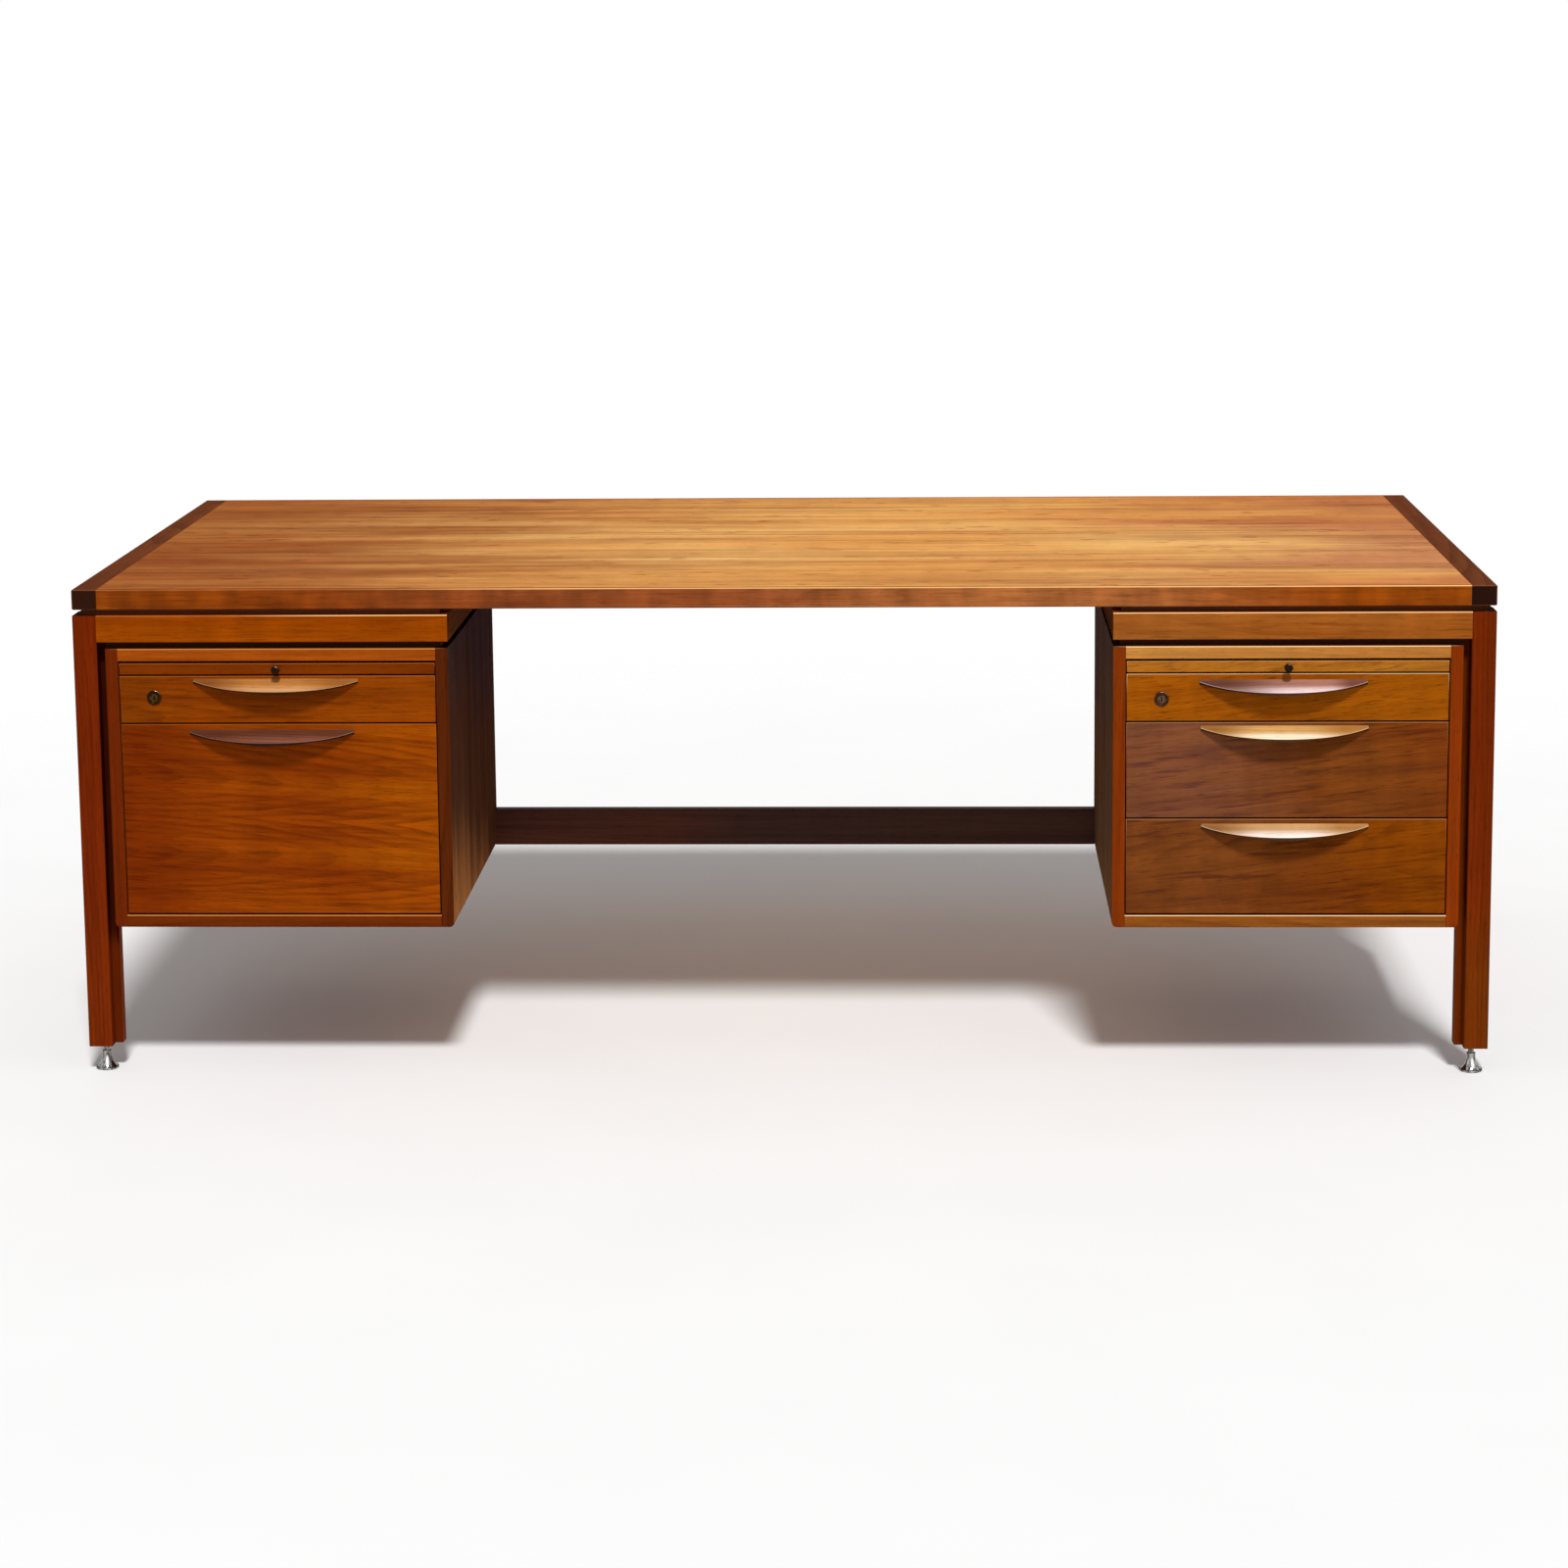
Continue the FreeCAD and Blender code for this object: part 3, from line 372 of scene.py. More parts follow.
@dataclass(frozen=True)
class WoodFinish:
    """A lacquered wood: its colours, how its log was cut, and how its lacquer shines."""

    name: str
    body: Colour
    pale: Colour
    deep: Colour
    ring: float = 0.011
    ring_show: float = 0.45
    wander: float = 0.016
    tilt: float = 0.035
    pith: Pair = (0.05, 0.16)
    log: Optional[Span] = None
    slant: float = 0.0
    leaf: float = 0.0
    streaks: Colour = (0.8, 55.0, 14.0)
    streak_at: Pair = (0.44, 0.72)
    streak_show: float = 0.5
    cloud_show: float = 0.5
    fleck_size: Pair = (16.0, 240.0)
    fleck_at: Pair = (0.52, 0.70)
    fleck_show: float = 0.0
    mottle: Pair = (26.0, 9.0)
    mottle_show: float = 0.12
    pore_show: float = 0.45
    drifts: Tuple[Drift, ...] = ()
    ragged: float = 16.0
    # The arris colour is a painted highlight on the upward rounded edges; its share, and the span along X
    # where it fades in, follow
    arris: Optional[Colour] = None
    arris_highlight_show: float = 0.5
    arris_highlight_from: Optional[Pair] = None
    end_show: float = 0.75
    # crest: a colour gain on the most upward faces, a painted highlight
    crest: Optional[Colour] = None
    # The share by which faces that look down are darkened: painted shade
    under_shade: float = 0.0
    rough: Pair = (0.30, 0.44)
    shine: float = 0.10

    @property
    def pore(self) -> Colour:
        """The colour of pores and end grain."""
        return tuple(PORE_DEPTH * value for value in self.deep)

    def toned(self, gain: Colour) -> "WoodFinish":
        """The same wood with its three colours multiplied by a gain."""
        return gained(self, ("body", "pale", "deep"), gain)

    def material(self, piece: str, grain: Grain, centre: Vector, seed: float) -> bpy.types.Material:
        """Build the wood for one board.

        Args:
            piece: The name of the board.
            grain: The way its fibres run.
            centre: The board's middle, which the log is placed from.
            seed: A number that makes this board's figure its own.

        Returns:
            The material.
        """
        material, graph, shader = new_material("%s_%s" % (self.name, piece))
        place = graph.add("ShaderNodeTexCoord")
        line = graph.vector("SUBTRACT", place.outputs["Object"], centre)
        fibre_line = self.laid(graph, line, grain)
        thread = graph.level(fibre_line, THREAD, seed)
        pores = graph.mask(fibre_line, PORES, seed)
        mottle = graph.level(fibre_line, Pattern(fibres(*self.mottle), offset=7), seed)

        colour = self.figure(graph, fibre_line, seed)
        if self.drifts:
            colour = self.drifted(graph, line, fibre_line, colour)
        swing = graph.math("MULTIPLY", graph.math("SUBTRACT", mottle, NOISE_MIDDLE), 2.0 * self.mottle_show)
        shade = graph.spread(thread, THREAD_RAMP, THREAD_SHADE)
        lit = graph.math("MULTIPLY", graph.math("ADD", swing, 1.0), shade)
        colour = graph.tint(colour, graph.grey(lit))
        colour = graph.blend(graph.math("MULTIPLY", pores, self.pore_show), colour, self.pore)
        graph.put(self.edges(graph, place, line, colour), shader.inputs["Base Color"])

        polish = graph.spread(thread, POLISH_RAMP, self.rough)
        gloss_and_highlight = graph.math("ADD", polish, graph.math("MULTIPLY", pores, PORE_ROUGHNESS))
        graph.put(gloss_and_highlight, shader.inputs["Roughness"])
        relief = graph.math("SUBTRACT", graph.math("MULTIPLY", thread, THREAD_RELIEF), pores)
        graph.put(graph.out("ShaderNodeBump", {"Height": relief, **WOOD_BUMP}), shader.inputs["Normal"])
        shader.inputs["Specular IOR Level"].default_value = self.shine
        return material

    def laid(self, graph: Graph, line: Socket, grain: Grain) -> Socket:
        """Turn a board's coordinates along its fibres.

        Args:
            graph: The material's graph.
            line: Coordinates from the board's middle.
            grain: The way the fibres run.

        Returns:
            Coordinates with X along the fibres, folded where the veneer is matched leaf by leaf.
        """
        about_x, about_y, about_z = grain.value
        turn = (about_x, about_y, about_z + self.slant)
        turned = graph.out("ShaderNodeMapping", {"Vector": line, "Rotation": turn})
        if not self.leaf:
            return turned
        along, across, deep = graph.add("ShaderNodeSeparateXYZ", {0: turned}).outputs
        folded = graph.math("PINGPONG", across, self.leaf)
        return graph.out("ShaderNodeCombineXYZ", {0: along, 1: folded, 2: deep})

    def figure(self, graph: Graph, fibre_line: Socket, seed: float) -> Socket:
        """Lay clouds, bands, gleams, rings, streaks and flecks over the wood's body colour.

        Args:
            graph: The material's graph.
            fibre_line: Coordinates with X along the fibres.
            seed: The board's own number.

        Returns:
            The colour of the figure.
        """
        run, fine, broad = self.streaks
        band = Pattern(fibres(run / 2, broad), offset=4, ramp=(0.42, 0.68))
        gleam = Pattern(fibres(run, fine * GLEAM_WIDTH), offset=12, detail=3.0, ramp=(0.5, 0.72))
        streak = Pattern(fibres(run, fine), offset=3, detail=4.0, rough=0.62, ramp=self.streak_at)
        layers = [(graph.mask(fibre_line, CLOUD, seed), self.cloud_show, self.pale),
                  (graph.mask(fibre_line, band, seed), self.streak_show * BAND_SHARE, self.deep),
                  (graph.mask(fibre_line, gleam, seed), self.streak_show * GLEAM_SHARE, self.pale),
                  (self.log_rings(graph, fibre_line, seed), self.ring_show, self.deep),
                  (graph.mask(fibre_line, streak, seed), self.streak_show, self.deep)]
        if self.fleck_show:
            fleck = Pattern(fibres(*self.fleck_size), offset=9, detail=3.0, ramp=self.fleck_at)
            layers.append((graph.mask(fibre_line, fleck, seed), self.fleck_show, self.deep))
        colour = self.body
        for mask, show, tone in layers:
            colour = graph.blend(graph.math("MULTIPLY", mask, show), colour, tone)
        return colour

    def log_rings(self, graph: Graph, fibre_line: Socket, seed: float) -> Socket:
        """The growth rings of a tilted, slightly wandering log.

        Args:
            graph: The material's graph.
            fibre_line: Coordinates with X along the fibres.
            seed: The board's own number.

        Returns:
            A socket that is 1 on the dark latewood and 0 between.
        """
        own_log = (self.tilt * math.sin(seed * LEAN_STEP), self.tilt * math.cos(seed * SWAY_STEP),
                   self.pith[0] * math.sin(seed), self.pith[1])
        lean, sway, aside, deep = self.log or own_log
        log = graph.out("ShaderNodeMapping", {"Vector": fibre_line, "Rotation": (0.0, lean, sway),
                                              "Location": (0.0, aside, deep)})
        drift = graph.noise(fibre_line, LOG_BEND, seed).outputs["Color"]
        centred = graph.vector("SUBTRACT", drift, (NOISE_MIDDLE, NOISE_MIDDLE, NOISE_MIDDLE))
        reach = BEND_REACH * self.wander
        bent = graph.vector("ADD", log, graph.vector("MULTIPLY", centred, (reach, reach, reach)))
        radius = graph.vector("LENGTH", graph.vector("MULTIPLY", bent, (0.0, 1.0, 1.0)))
        ripple = graph.math("MULTIPLY", graph.level(fibre_line, RIPPLE, seed), RIPPLE_YEARS)
        slow = graph.math("MULTIPLY", graph.level(fibre_line, SLOW_RIPPLE, seed), SLOW_YEARS)
        years = graph.math("ADD", graph.math("DIVIDE", radius, self.ring), graph.math("ADD", ripple, slow))
        age = graph.math("FRACT", years)
        late = graph.math("MULTIPLY", graph.spread(age, LATEWOOD), graph.spread(age, YEAR_END, (1.0, 0.0)))
        strength = graph.spread(graph.level(fibre_line, YEARS, seed), YEARS.ramp, YEAR_SHOWN)
        return graph.math("MULTIPLY", late, strength)

    def drifted(self, graph: Graph, line: Socket, fibre_line: Socket, colour: Socket) -> Socket:
        """Let the colour drift raggedly towards other tones at some sides of a board.

        Args:
            graph: The material's graph.
            line: Coordinates from the board's middle.
            fibre_line: The same with X along the fibres.
            colour: The colour so far.

        Returns:
            The drifting colour.
        """
        edge = Pattern(fibres(RAGGED_RUN, self.ragged), offset=9, detail=4.0, rough=0.6)
        wander = graph.math("SUBTRACT", graph.level(fibre_line, edge, 0.0), NOISE_MIDDLE)
        for drift in self.drifts:
            along = graph.vector("DOT_PRODUCT", line, drift.way)
            ragged = graph.math("ADD", along, graph.math("MULTIPLY", wander, drift.stray))
            mask = graph.spread(ragged, (drift.start, drift.end))
            colour = graph.blend(mask, colour, graph.tint(colour, drift.gain))
        return colour

    def edges(self, graph: Graph, place: bpy.types.Node, line: Socket, colour: Socket) -> Socket:
        """Darken end grain, and paint light and shade by the way a face points: highlights on upward faces
        and rounded edges, shade on faces that look down.

        Args:
            graph: The material's graph.
            place: The texture coordinate node.
            line: Coordinates from the board's middle.
            colour: The colour so far.

        Returns:
            The colour with its edges.
        """
        upward = graph.add("ShaderNodeSeparateXYZ", {0: place.outputs["Normal"]}).outputs[2]
        # Painted highlight: the most upward faces are multiplied by the crest colour
        if self.crest:
            colour = graph.blend(graph.spread(upward, PAINTED_HIGHLIGHT_RAMP), colour, graph.tint(colour, self.crest))
        # Painted shade: faces that look down are darkened
        if self.under_shade:
            shade = graph.spread(upward, UNDER_SHADE_RAMP, (1.0 - self.under_shade, 1.0))
            colour = graph.tint(colour, graph.grey(shade))
        # Painted highlight: rounded edges that face up blend towards the arris colour
        arris = graph.add("ShaderNodeAttribute", attribute_name="arris").outputs["Fac"]
        gloss_and_highlight = graph.math("MULTIPLY", arris, graph.spread(upward, LIT_EDGE_RAMP))
        if self.arris_highlight_from:
            along = graph.out("ShaderNodeSeparateXYZ", {0: line})
            gloss_and_highlight = graph.math("MULTIPLY", gloss_and_highlight, graph.spread(along, self.arris_highlight_from, ARRIS_HIGHLIGHT_SHOWN))
        soft = graph.blend(graph.math("MULTIPLY", gloss_and_highlight, self.arris_highlight_show), colour, self.arris or self.pale)
        end = graph.add("ShaderNodeAttribute", attribute_name="end").outputs["Fac"]
        return graph.blend(graph.math("MULTIPLY", end, self.end_show), soft, self.pore)


@dataclass(frozen=True)
class MetalFinish:
    """A metal: its two tones, its polish, its brushed or patinated mottle, and a painted highlight where it
    has a glint.
    """

    name: str
    bright: Colour
    dull: Colour
    rough: Pair
    metallic: float = 1.0
    patch: Colour = (60.0, 60.0, 60.0)
    share: Pair = (0.35, 0.70)
    rub_size: float = 4.0
    rub_at: Pair = (0.25, 0.75)
    relief: float = 0.0
    relief_depth: float = 0.2 * MM
    # glint: a colour painted on faces that point along glint_way, a painted highlight
    glint: Optional[Colour] = None
    glint_way: Colour = (0.42, -0.52, 0.74)
    glint_at: Pair = (0.78, 0.96)

    def toned(self, gain: Colour) -> "MetalFinish":
        """The same metal with its two tones multiplied by a gain."""
        return gained(self, ("bright", "dull"), gain)

    def material(self, piece: str, seed: float) -> bpy.types.Material:
        """Build the metal for one piece.

        Args:
            piece: The name of the piece.
            seed: A number that makes its marks its own.

        Returns:
            The material.
        """
        material, graph, shader = new_material("%s_%s" % (self.name, piece))
        lie = graph.add("ShaderNodeTexCoord").outputs
        # This mottle is the metal's own patina; on chrome its long upright streaks are a painted reflection
        tones_and_light = Pattern(self.patch, offset=0, detail=4.0, rough=0.6, ramp=self.share)
        colour = graph.blend(graph.mask(lie["Object"], tones_and_light, seed), self.bright, self.dull)
        # Painted highlight: faces that point along the glint's way take the glint colour
        if self.glint:
            facing = graph.vector("DOT_PRODUCT", lie["Normal"], self.glint_way)
            colour = graph.blend(graph.spread(facing, self.glint_at), colour, self.glint)
        graph.put(colour, shader.inputs["Base Color"])
        scratches = Pattern(tuple(self.rub_size * value for value in self.patch), offset=2, detail=3.0)
        rub = graph.level(lie["Object"], scratches, seed)
        graph.put(graph.spread(rub, self.rub_at, self.rough), shader.inputs["Roughness"])
        if self.relief:
            bump = graph.out("ShaderNodeBump", {"Height": rub, "Strength": self.relief,
                                                "Distance": self.relief_depth})
            graph.put(bump, shader.inputs["Normal"])
        shader.inputs["Metallic"].default_value = self.metallic
        return material


# Woods of the top and the frame
# The top's drifts darken its left end, its right end and its back: partly the veneer's own colour, partly
# painted shade where less light falls
WALNUT_TOP = WoodFinish(
    "walnut_top", body=(0.88, 0.40, 0.102), pale=(0.99, 0.63, 0.22), deep=(0.40, 0.121, 0.026),
    ring=0.040, ring_show=0.24, tilt=0.030, pith=(0.2, 0.30), streaks=(1.5, 38.0, 9.0),
    streak_at=(0.47, 0.70), streak_show=0.70, cloud_show=0.6, fleck_size=(24.0, 80.0), fleck_at=(0.60, 0.69),
    fleck_show=0.65, pore_show=0.35, end_show=0.5, ragged=9.0, shine=0.08,
    drifts=(Drift((0.47, 0.28, 0.18), start=0.02, end=-1.0, way=(1.0, -0.16, 0.0), stray=1.94),
            Drift((0.72, 0.53, 0.66), start=0.46, end=1.0, way=(1.0, 0.10, 0.0), stray=1.94),
            Drift((0.92, 0.79, 0.66), start=0.10, end=0.50, way=(0.25, 1.0, 0.0), stray=0.5)))
WALNUT_EDGE = WoodFinish(
    "walnut_edge", body=(0.46, 0.147, 0.039), pale=(0.62, 0.245, 0.070), deep=(0.19, 0.051, 0.011),
    ring=0.008, ring_show=0.35, streak_show=0.6, fleck_show=0.40, mottle=(24.0, 14.0), mottle_show=0.75,
    arris=(0.95, 0.55, 0.2), arris_highlight_show=0.85, arris_highlight_from=(-0.70, -0.30), shine=0.05,
    drifts=(Drift((0.64, 0.47, 0.44), start=0.36, end=-0.15),
            Drift((0.96, 0.74, 0.10), start=-0.25, end=-0.85),
            Drift((0.60, 0.34, 0.025), start=0.42, end=0.85)))
ROSEWOOD = WoodFinish(
    "dark_hardwood", body=(0.150, 0.036, 0.010), pale=(0.21, 0.058, 0.015), deep=(0.05, 0.012, 0.004),
    ring=0.007, ring_show=0.40, shine=0.04)
WALNUT_FRAME = WoodFinish(
    "walnut_frame", body=(0.36, 0.070, 0.002), pale=(0.46, 0.12, 0.006), deep=(0.15, 0.026, 0.001),
    ring=0.007, ring_show=0.40, tilt=0.03, streak_show=0.44, fleck_show=0.45, mottle_show=0.25,
    arris=(0.95, 0.60, 0.28), arris_highlight_show=0.9, shine=0.0)
# The two aprons differ partly in their own tone and partly in the light on each end: painted light
LEFT_APRON = replace(WALNUT_FRAME.toned((0.98, 0.88, 0.5)), arris_highlight_from=(-0.10, 0.12))
RIGHT_APRON = WALNUT_FRAME.toned((1.04, 1.43, 5.5))
# The rear stretcher takes a near-black walnut: painted shade of the kneehole, redder towards its left end
SHADED_STRETCHER = WoodFinish(
    "dark_stretcher", body=(0.05332, 0.022, 0.0169), pale=(0.0774, 0.034, 0.026),
    deep=(0.0215, 0.009, 0.0078), ring=0.008, ring_show=0.3,
    drifts=both_ends((1.5, 1.15, 0.8), (1.0, 0.95, 0.85)), shine=0.04)
SHADOW_STRIP = WoodFinish(
    "shadow_strip", body=(0.16, 0.050, 0.020), pale=(0.21, 0.068, 0.027), deep=(0.08, 0.025, 0.012),
    rough=(0.5, 0.65), shine=0.0)
WALNUT_LEG = WoodFinish(
    "walnut_leg", body=(0.165, 0.0165, 0.001), pale=(0.22, 0.028, 0.001), deep=(0.06, 0.006, 0.001),
    ring=0.007, ring_show=0.34, fleck_show=0.35, shine=0.02)
# The faces in the legs' rabbets take a near-black wood: painted shade in the recess
SHADED_RABBET = WoodFinish(
    "dark_rabbet", body=(0.050, 0.0055, 0.001), pale=(0.075, 0.009, 0.001), deep=(0.02, 0.003, 0.001),
    shine=0.0)

# Woods of the pedestals and the drawers
WALNUT_CASE = WoodFinish(
    "walnut_case", body=(0.22, 0.038, 0.002), pale=(0.34, 0.080, 0.005), deep=(0.08, 0.013, 0.001),
    ring=0.007, ring_show=0.38, streak_show=0.45, arris_highlight_show=0.85, shine=0.02)
# The pedestals' inner sides and the rails between them take a darker, duller walnut: painted shade of the
# kneehole
WALNUT_SIDE_IN_SHADE = WoodFinish(
    "walnut_side", body=(0.080, 0.029, 0.013), pale=(0.125, 0.050, 0.020), deep=(0.035, 0.012, 0.006),
    ring=0.009, ring_show=0.38, streak_show=0.45, shine=0.0)
WALNUT_PANEL = WoodFinish(
    "walnut_panel", body=(0.20, 0.048, 0.010), pale=(0.28, 0.080, 0.018), deep=(0.09, 0.020, 0.005),
    ring=0.009, ring_show=0.40, streak_show=0.45, shine=0.05)
WALNUT_FRONT = WoodFinish(
    "walnut_front", body=(0.29, 0.050, 0.0006), pale=(0.36, 0.082, 0.001), deep=(0.11, 0.015, 0.0006),
    ring=0.0050, ring_show=0.36, wander=0.012, tilt=0.05, pith=(0.03, 0.06), streaks=(1.6, 75.0, 18.0),
    fleck_show=0.50, arris=(0.52, 0.19, 0.04), arris_highlight_show=0.7, shine=0.02)
FILE_FRONT = replace(
    WALNUT_FRONT.toned((1.0, 0.88, 0.6)), ring=0.0075, ring_show=0.50, log=(-0.09, 0.01, -0.057, 0.034),
    slant=0.05, leaf=0.1465, streaks=(1.3, 42.0, 9.0), streak_show=0.66, mottle_show=0.18,
    drifts=both_ends((0.64, 0.48, 0.5), (1.32, 1.65, 0.9)))
CURLY_FRONT = WoodFinish(
    "curly_front", body=(0.27, 0.066, 0.003), pale=(0.35, 0.105, 0.006), deep=(0.09, 0.020, 0.003),
    ring=0.009, ring_show=0.30, tilt=0.09, slant=-0.10, streaks=(2.6, 62.0, 16.0), streak_show=0.44,
    fleck_size=(13.0, 170.0), fleck_at=(0.53, 0.68), fleck_show=0.62, mottle_show=0.30,
    arris=(0.62, 0.33, 0.16), arris_highlight_show=0.7, shine=0.02)
QUIET_FRONT = replace(
    CURLY_FRONT, name="quiet_front", ring_show=0.26, streaks=(2.2, 80.0, 20.0), streak_show=0.34,
    fleck_size=(30.0, 330.0), fleck_show=0.55, mottle_show=0.28)
DRAWER_BOX = WoodFinish(
    "drawer_box", body=(0.58, 0.40, 0.22), pale=(0.66, 0.50, 0.31), deep=(0.38, 0.23, 0.11),
    ring=0.010, ring_show=0.30, streak_show=0.35, end_show=0.35, rough=(0.45, 0.6), shine=0.3)
# The pulls' crests are painted highlights on their dished tops
PULL_LIGHT = WoodFinish(
    "pull_light", body=(0.47, 0.175, 0.035), pale=(0.56, 0.25, 0.06), deep=(0.25, 0.08, 0.015),
    ring=0.005, tilt=0.05, pith=(0.01, 0.05), ragged=60.0, arris=(0.95, 0.72, 0.45), end_show=0.3,
    crest=(1.45, 2.0, 4.2), under_shade=0.88, rough=(0.18, 0.30))
PULL_DARK = WoodFinish(
    "pull_dark", body=(0.135, 0.040, 0.018), pale=(0.19, 0.06, 0.03), deep=(0.06, 0.017, 0.009),
    ring=0.005, ring_show=0.40, tilt=0.05, pith=(0.01, 0.05), ragged=60.0, arris=(0.40, 0.24, 0.19),
    end_show=0.3, crest=(1.8, 2.15, 2.8), under_shade=0.80, rough=(0.18, 0.30))
# Where the pulls' ends darken, leaving a painted highlight in the middle
LIGHT_PULL_HIGHLIGHT_SPAN: Span = (-0.105, -0.025, 0.03, 0.095)
DARK_PULL_HIGHLIGHT_SPAN: Span = (-0.095, 0.0, 0.05, 0.10)
SHIFTED_HIGHLIGHT_SPAN: Span = (-0.085, 0.025, 0.065, 0.105)
# The fronts' and pulls' tones and drifts copy their own colour together with uneven light: paler, bluer
# patches stand for glare and the right pulls' pale tones for lamp reflections, painted light
DRAWERS: Dict[str, Tuple[WoodFinish, WoodFinish]] = {
    "left_top": (
        replace(WALNUT_FRONT.toned((0.94, 0.88, 0.6)),
                drifts=both_ends((0.86, 0.96, 1.0), (1.05, 1.06, 1.0))),
        replace(PULL_LIGHT, arris_highlight_show=0.2,
                drifts=both_ends((0.50, 0.40, 0.3), (0.74, 0.62, 0.45), LIGHT_PULL_HIGHLIGHT_SPAN, stray=0.04))),
    "left_file": (
        FILE_FRONT,
        replace(PULL_DARK, arris_highlight_show=0.3,
                drifts=both_ends((0.75, 0.7, 0.6), (0.9, 0.9, 0.85), DARK_PULL_HIGHLIGHT_SPAN, stray=0.05))),
    "right_top": (
        replace(QUIET_FRONT.toned((1.26, 1.22, 0.4)), arris=(0.98, 0.72, 0.42), arris_highlight_show=0.9),
        replace(PULL_DARK.toned((2.7, 3.8, 5.6)), crest=(2.8, 5.4, 8.0), arris=(0.85, 0.65, 0.62),
                drifts=both_ends((0.32, 0.24, 0.2), (0.42, 0.32, 0.28), SHIFTED_HIGHLIGHT_SPAN, stray=0.055))),
    "right_middle": (
        replace(CURLY_FRONT.toned((0.70, 0.68, 1.7)),
                drifts=both_ends((1.08, 1.40, 4.2), (0.97, 0.78, 0.6), (-0.12, 0.08, 0.09, 0.24))),
        replace(PULL_LIGHT.toned((1.35, 1.85, 2.6)), crest=(1.9, 3.0, 7.6), arris=(1.0, 0.85, 0.62),
                drifts=both_ends((0.50, 0.36, 0.2), (0.66, 0.5, 0.32), LIGHT_PULL_HIGHLIGHT_SPAN, stray=0.04))),
    "right_bottom": (
        replace(CURLY_FRONT.toned((0.66, 0.57, 0.8)),
                drifts=both_ends((1.0, 1.20, 2.8), (1.27, 1.22, 0.2), (-0.12, 0.08, 0.03, 0.16))),
        replace(PULL_LIGHT.toned((1.25, 1.75, 3.2)), crest=(1.87, 2.86, 6.9), arris=(1.0, 0.84, 0.70),
                drifts=both_ends((0.50, 0.36, 0.2), (0.70, 0.55, 0.36), LIGHT_PULL_HIGHLIGHT_SPAN, stray=0.04))),
}
WRITING_SLIDES: Dict[Side, WoodFinish] = {
    Side.LEFT: replace(WALNUT_FRONT.toned((0.74, 0.68, 0.6)), tilt=0.01),
    Side.RIGHT: QUIET_FRONT.toned((1.62, 2.2, 3.6)),
}

# Metals
# Chrome is given dark tones with long upright streaks and a painted glint: a painted reflection of its
# surroundings
CHROME = MetalFinish(
    "chrome", bright=(0.46, 0.45, 0.43), dull=(0.09, 0.085, 0.08), rough=(0.05, 0.12),
    patch=(330.0, 330.0, 40.0), share=(0.38, 0.58), glint=(0.95, 0.95, 0.93), glint_way=(0.18, -0.92, 0.34),
    glint_at=(0.93, 0.985))
# The bronze's and the knob's glints are painted highlights
DARK_BRONZE = MetalFinish(
    "dark_bronze", bright=(0.046, 0.026, 0.011), dull=(0.016, 0.009, 0.004), rough=(0.16, 0.30),
    patch=(260.0, 260.0, 260.0), relief=0.15, glint=(0.55, 0.34, 0.26))
KNOB_BLACK = replace(
    DARK_BRONZE, name="knob_black", bright=(0.022, 0.011, 0.006), dull=(0.010, 0.006, 0.004),
    glint=(0.20, 0.13, 0.10))
LOCK_STEEL = MetalFinish(
    "lock_steel", bright=(0.115, 0.070, 0.036), dull=(0.026, 0.016, 0.008), rough=(0.18, 0.30),
    patch=(300.0, 300.0, 300.0), relief=0.10)
KEYWAY_BLACK = MetalFinish(
    "keyway_black", bright=(0.010, 0.007, 0.005), dull=(0.005, 0.004, 0.003), rough=(0.5, 0.7), metallic=0.4,
    patch=(500.0, 500.0, 500.0))
SLIDE_STEEL = MetalFinish(
    "slide_steel", bright=(0.62, 0.63, 0.64), dull=(0.46, 0.47, 0.49), rough=(0.25, 0.42),
    patch=(400.0, 4.0, 400.0), relief=0.08)
SCREW_STEEL = MetalFinish(
    "screw_steel", bright=(0.60, 0.59, 0.56), dull=(0.36, 0.34, 0.31), rough=(0.25, 0.45),
    patch=(300.0, 300.0, 300.0))


@dataclass(frozen=True)
class EndTonesAndLight:
    """Gains and drifts on the finishes of one end of the desk: partly its own tone, partly painted light and
    shade.
    """

    case_edges: Dict[Panel, Colour]
    # The colour of the painted highlight on the cases' upward rounded edges
    case_arris: Colour
    cap_end: float
    leg: Colour
    leg_foot: Drift
    # The rabbet's painted shade is toned per end and lightens low down, painted light
    rabbet: Colour
    rabbet_foot_light: Drift
    inner_side: Colour
    inner_light_and_shade: Tuple[Drift, Drift]
    lock: Colour


# Drifts on the inner sides: lighter low down at the front and duller high up at the back, painted light and
# shade
INNER_SPAN: Span = (-0.30, -0.08, 0.0, 0.22)
INNER_WAY: Colour = (0.0, 0.25, 1.0)
INNER_STRAY = 0.29
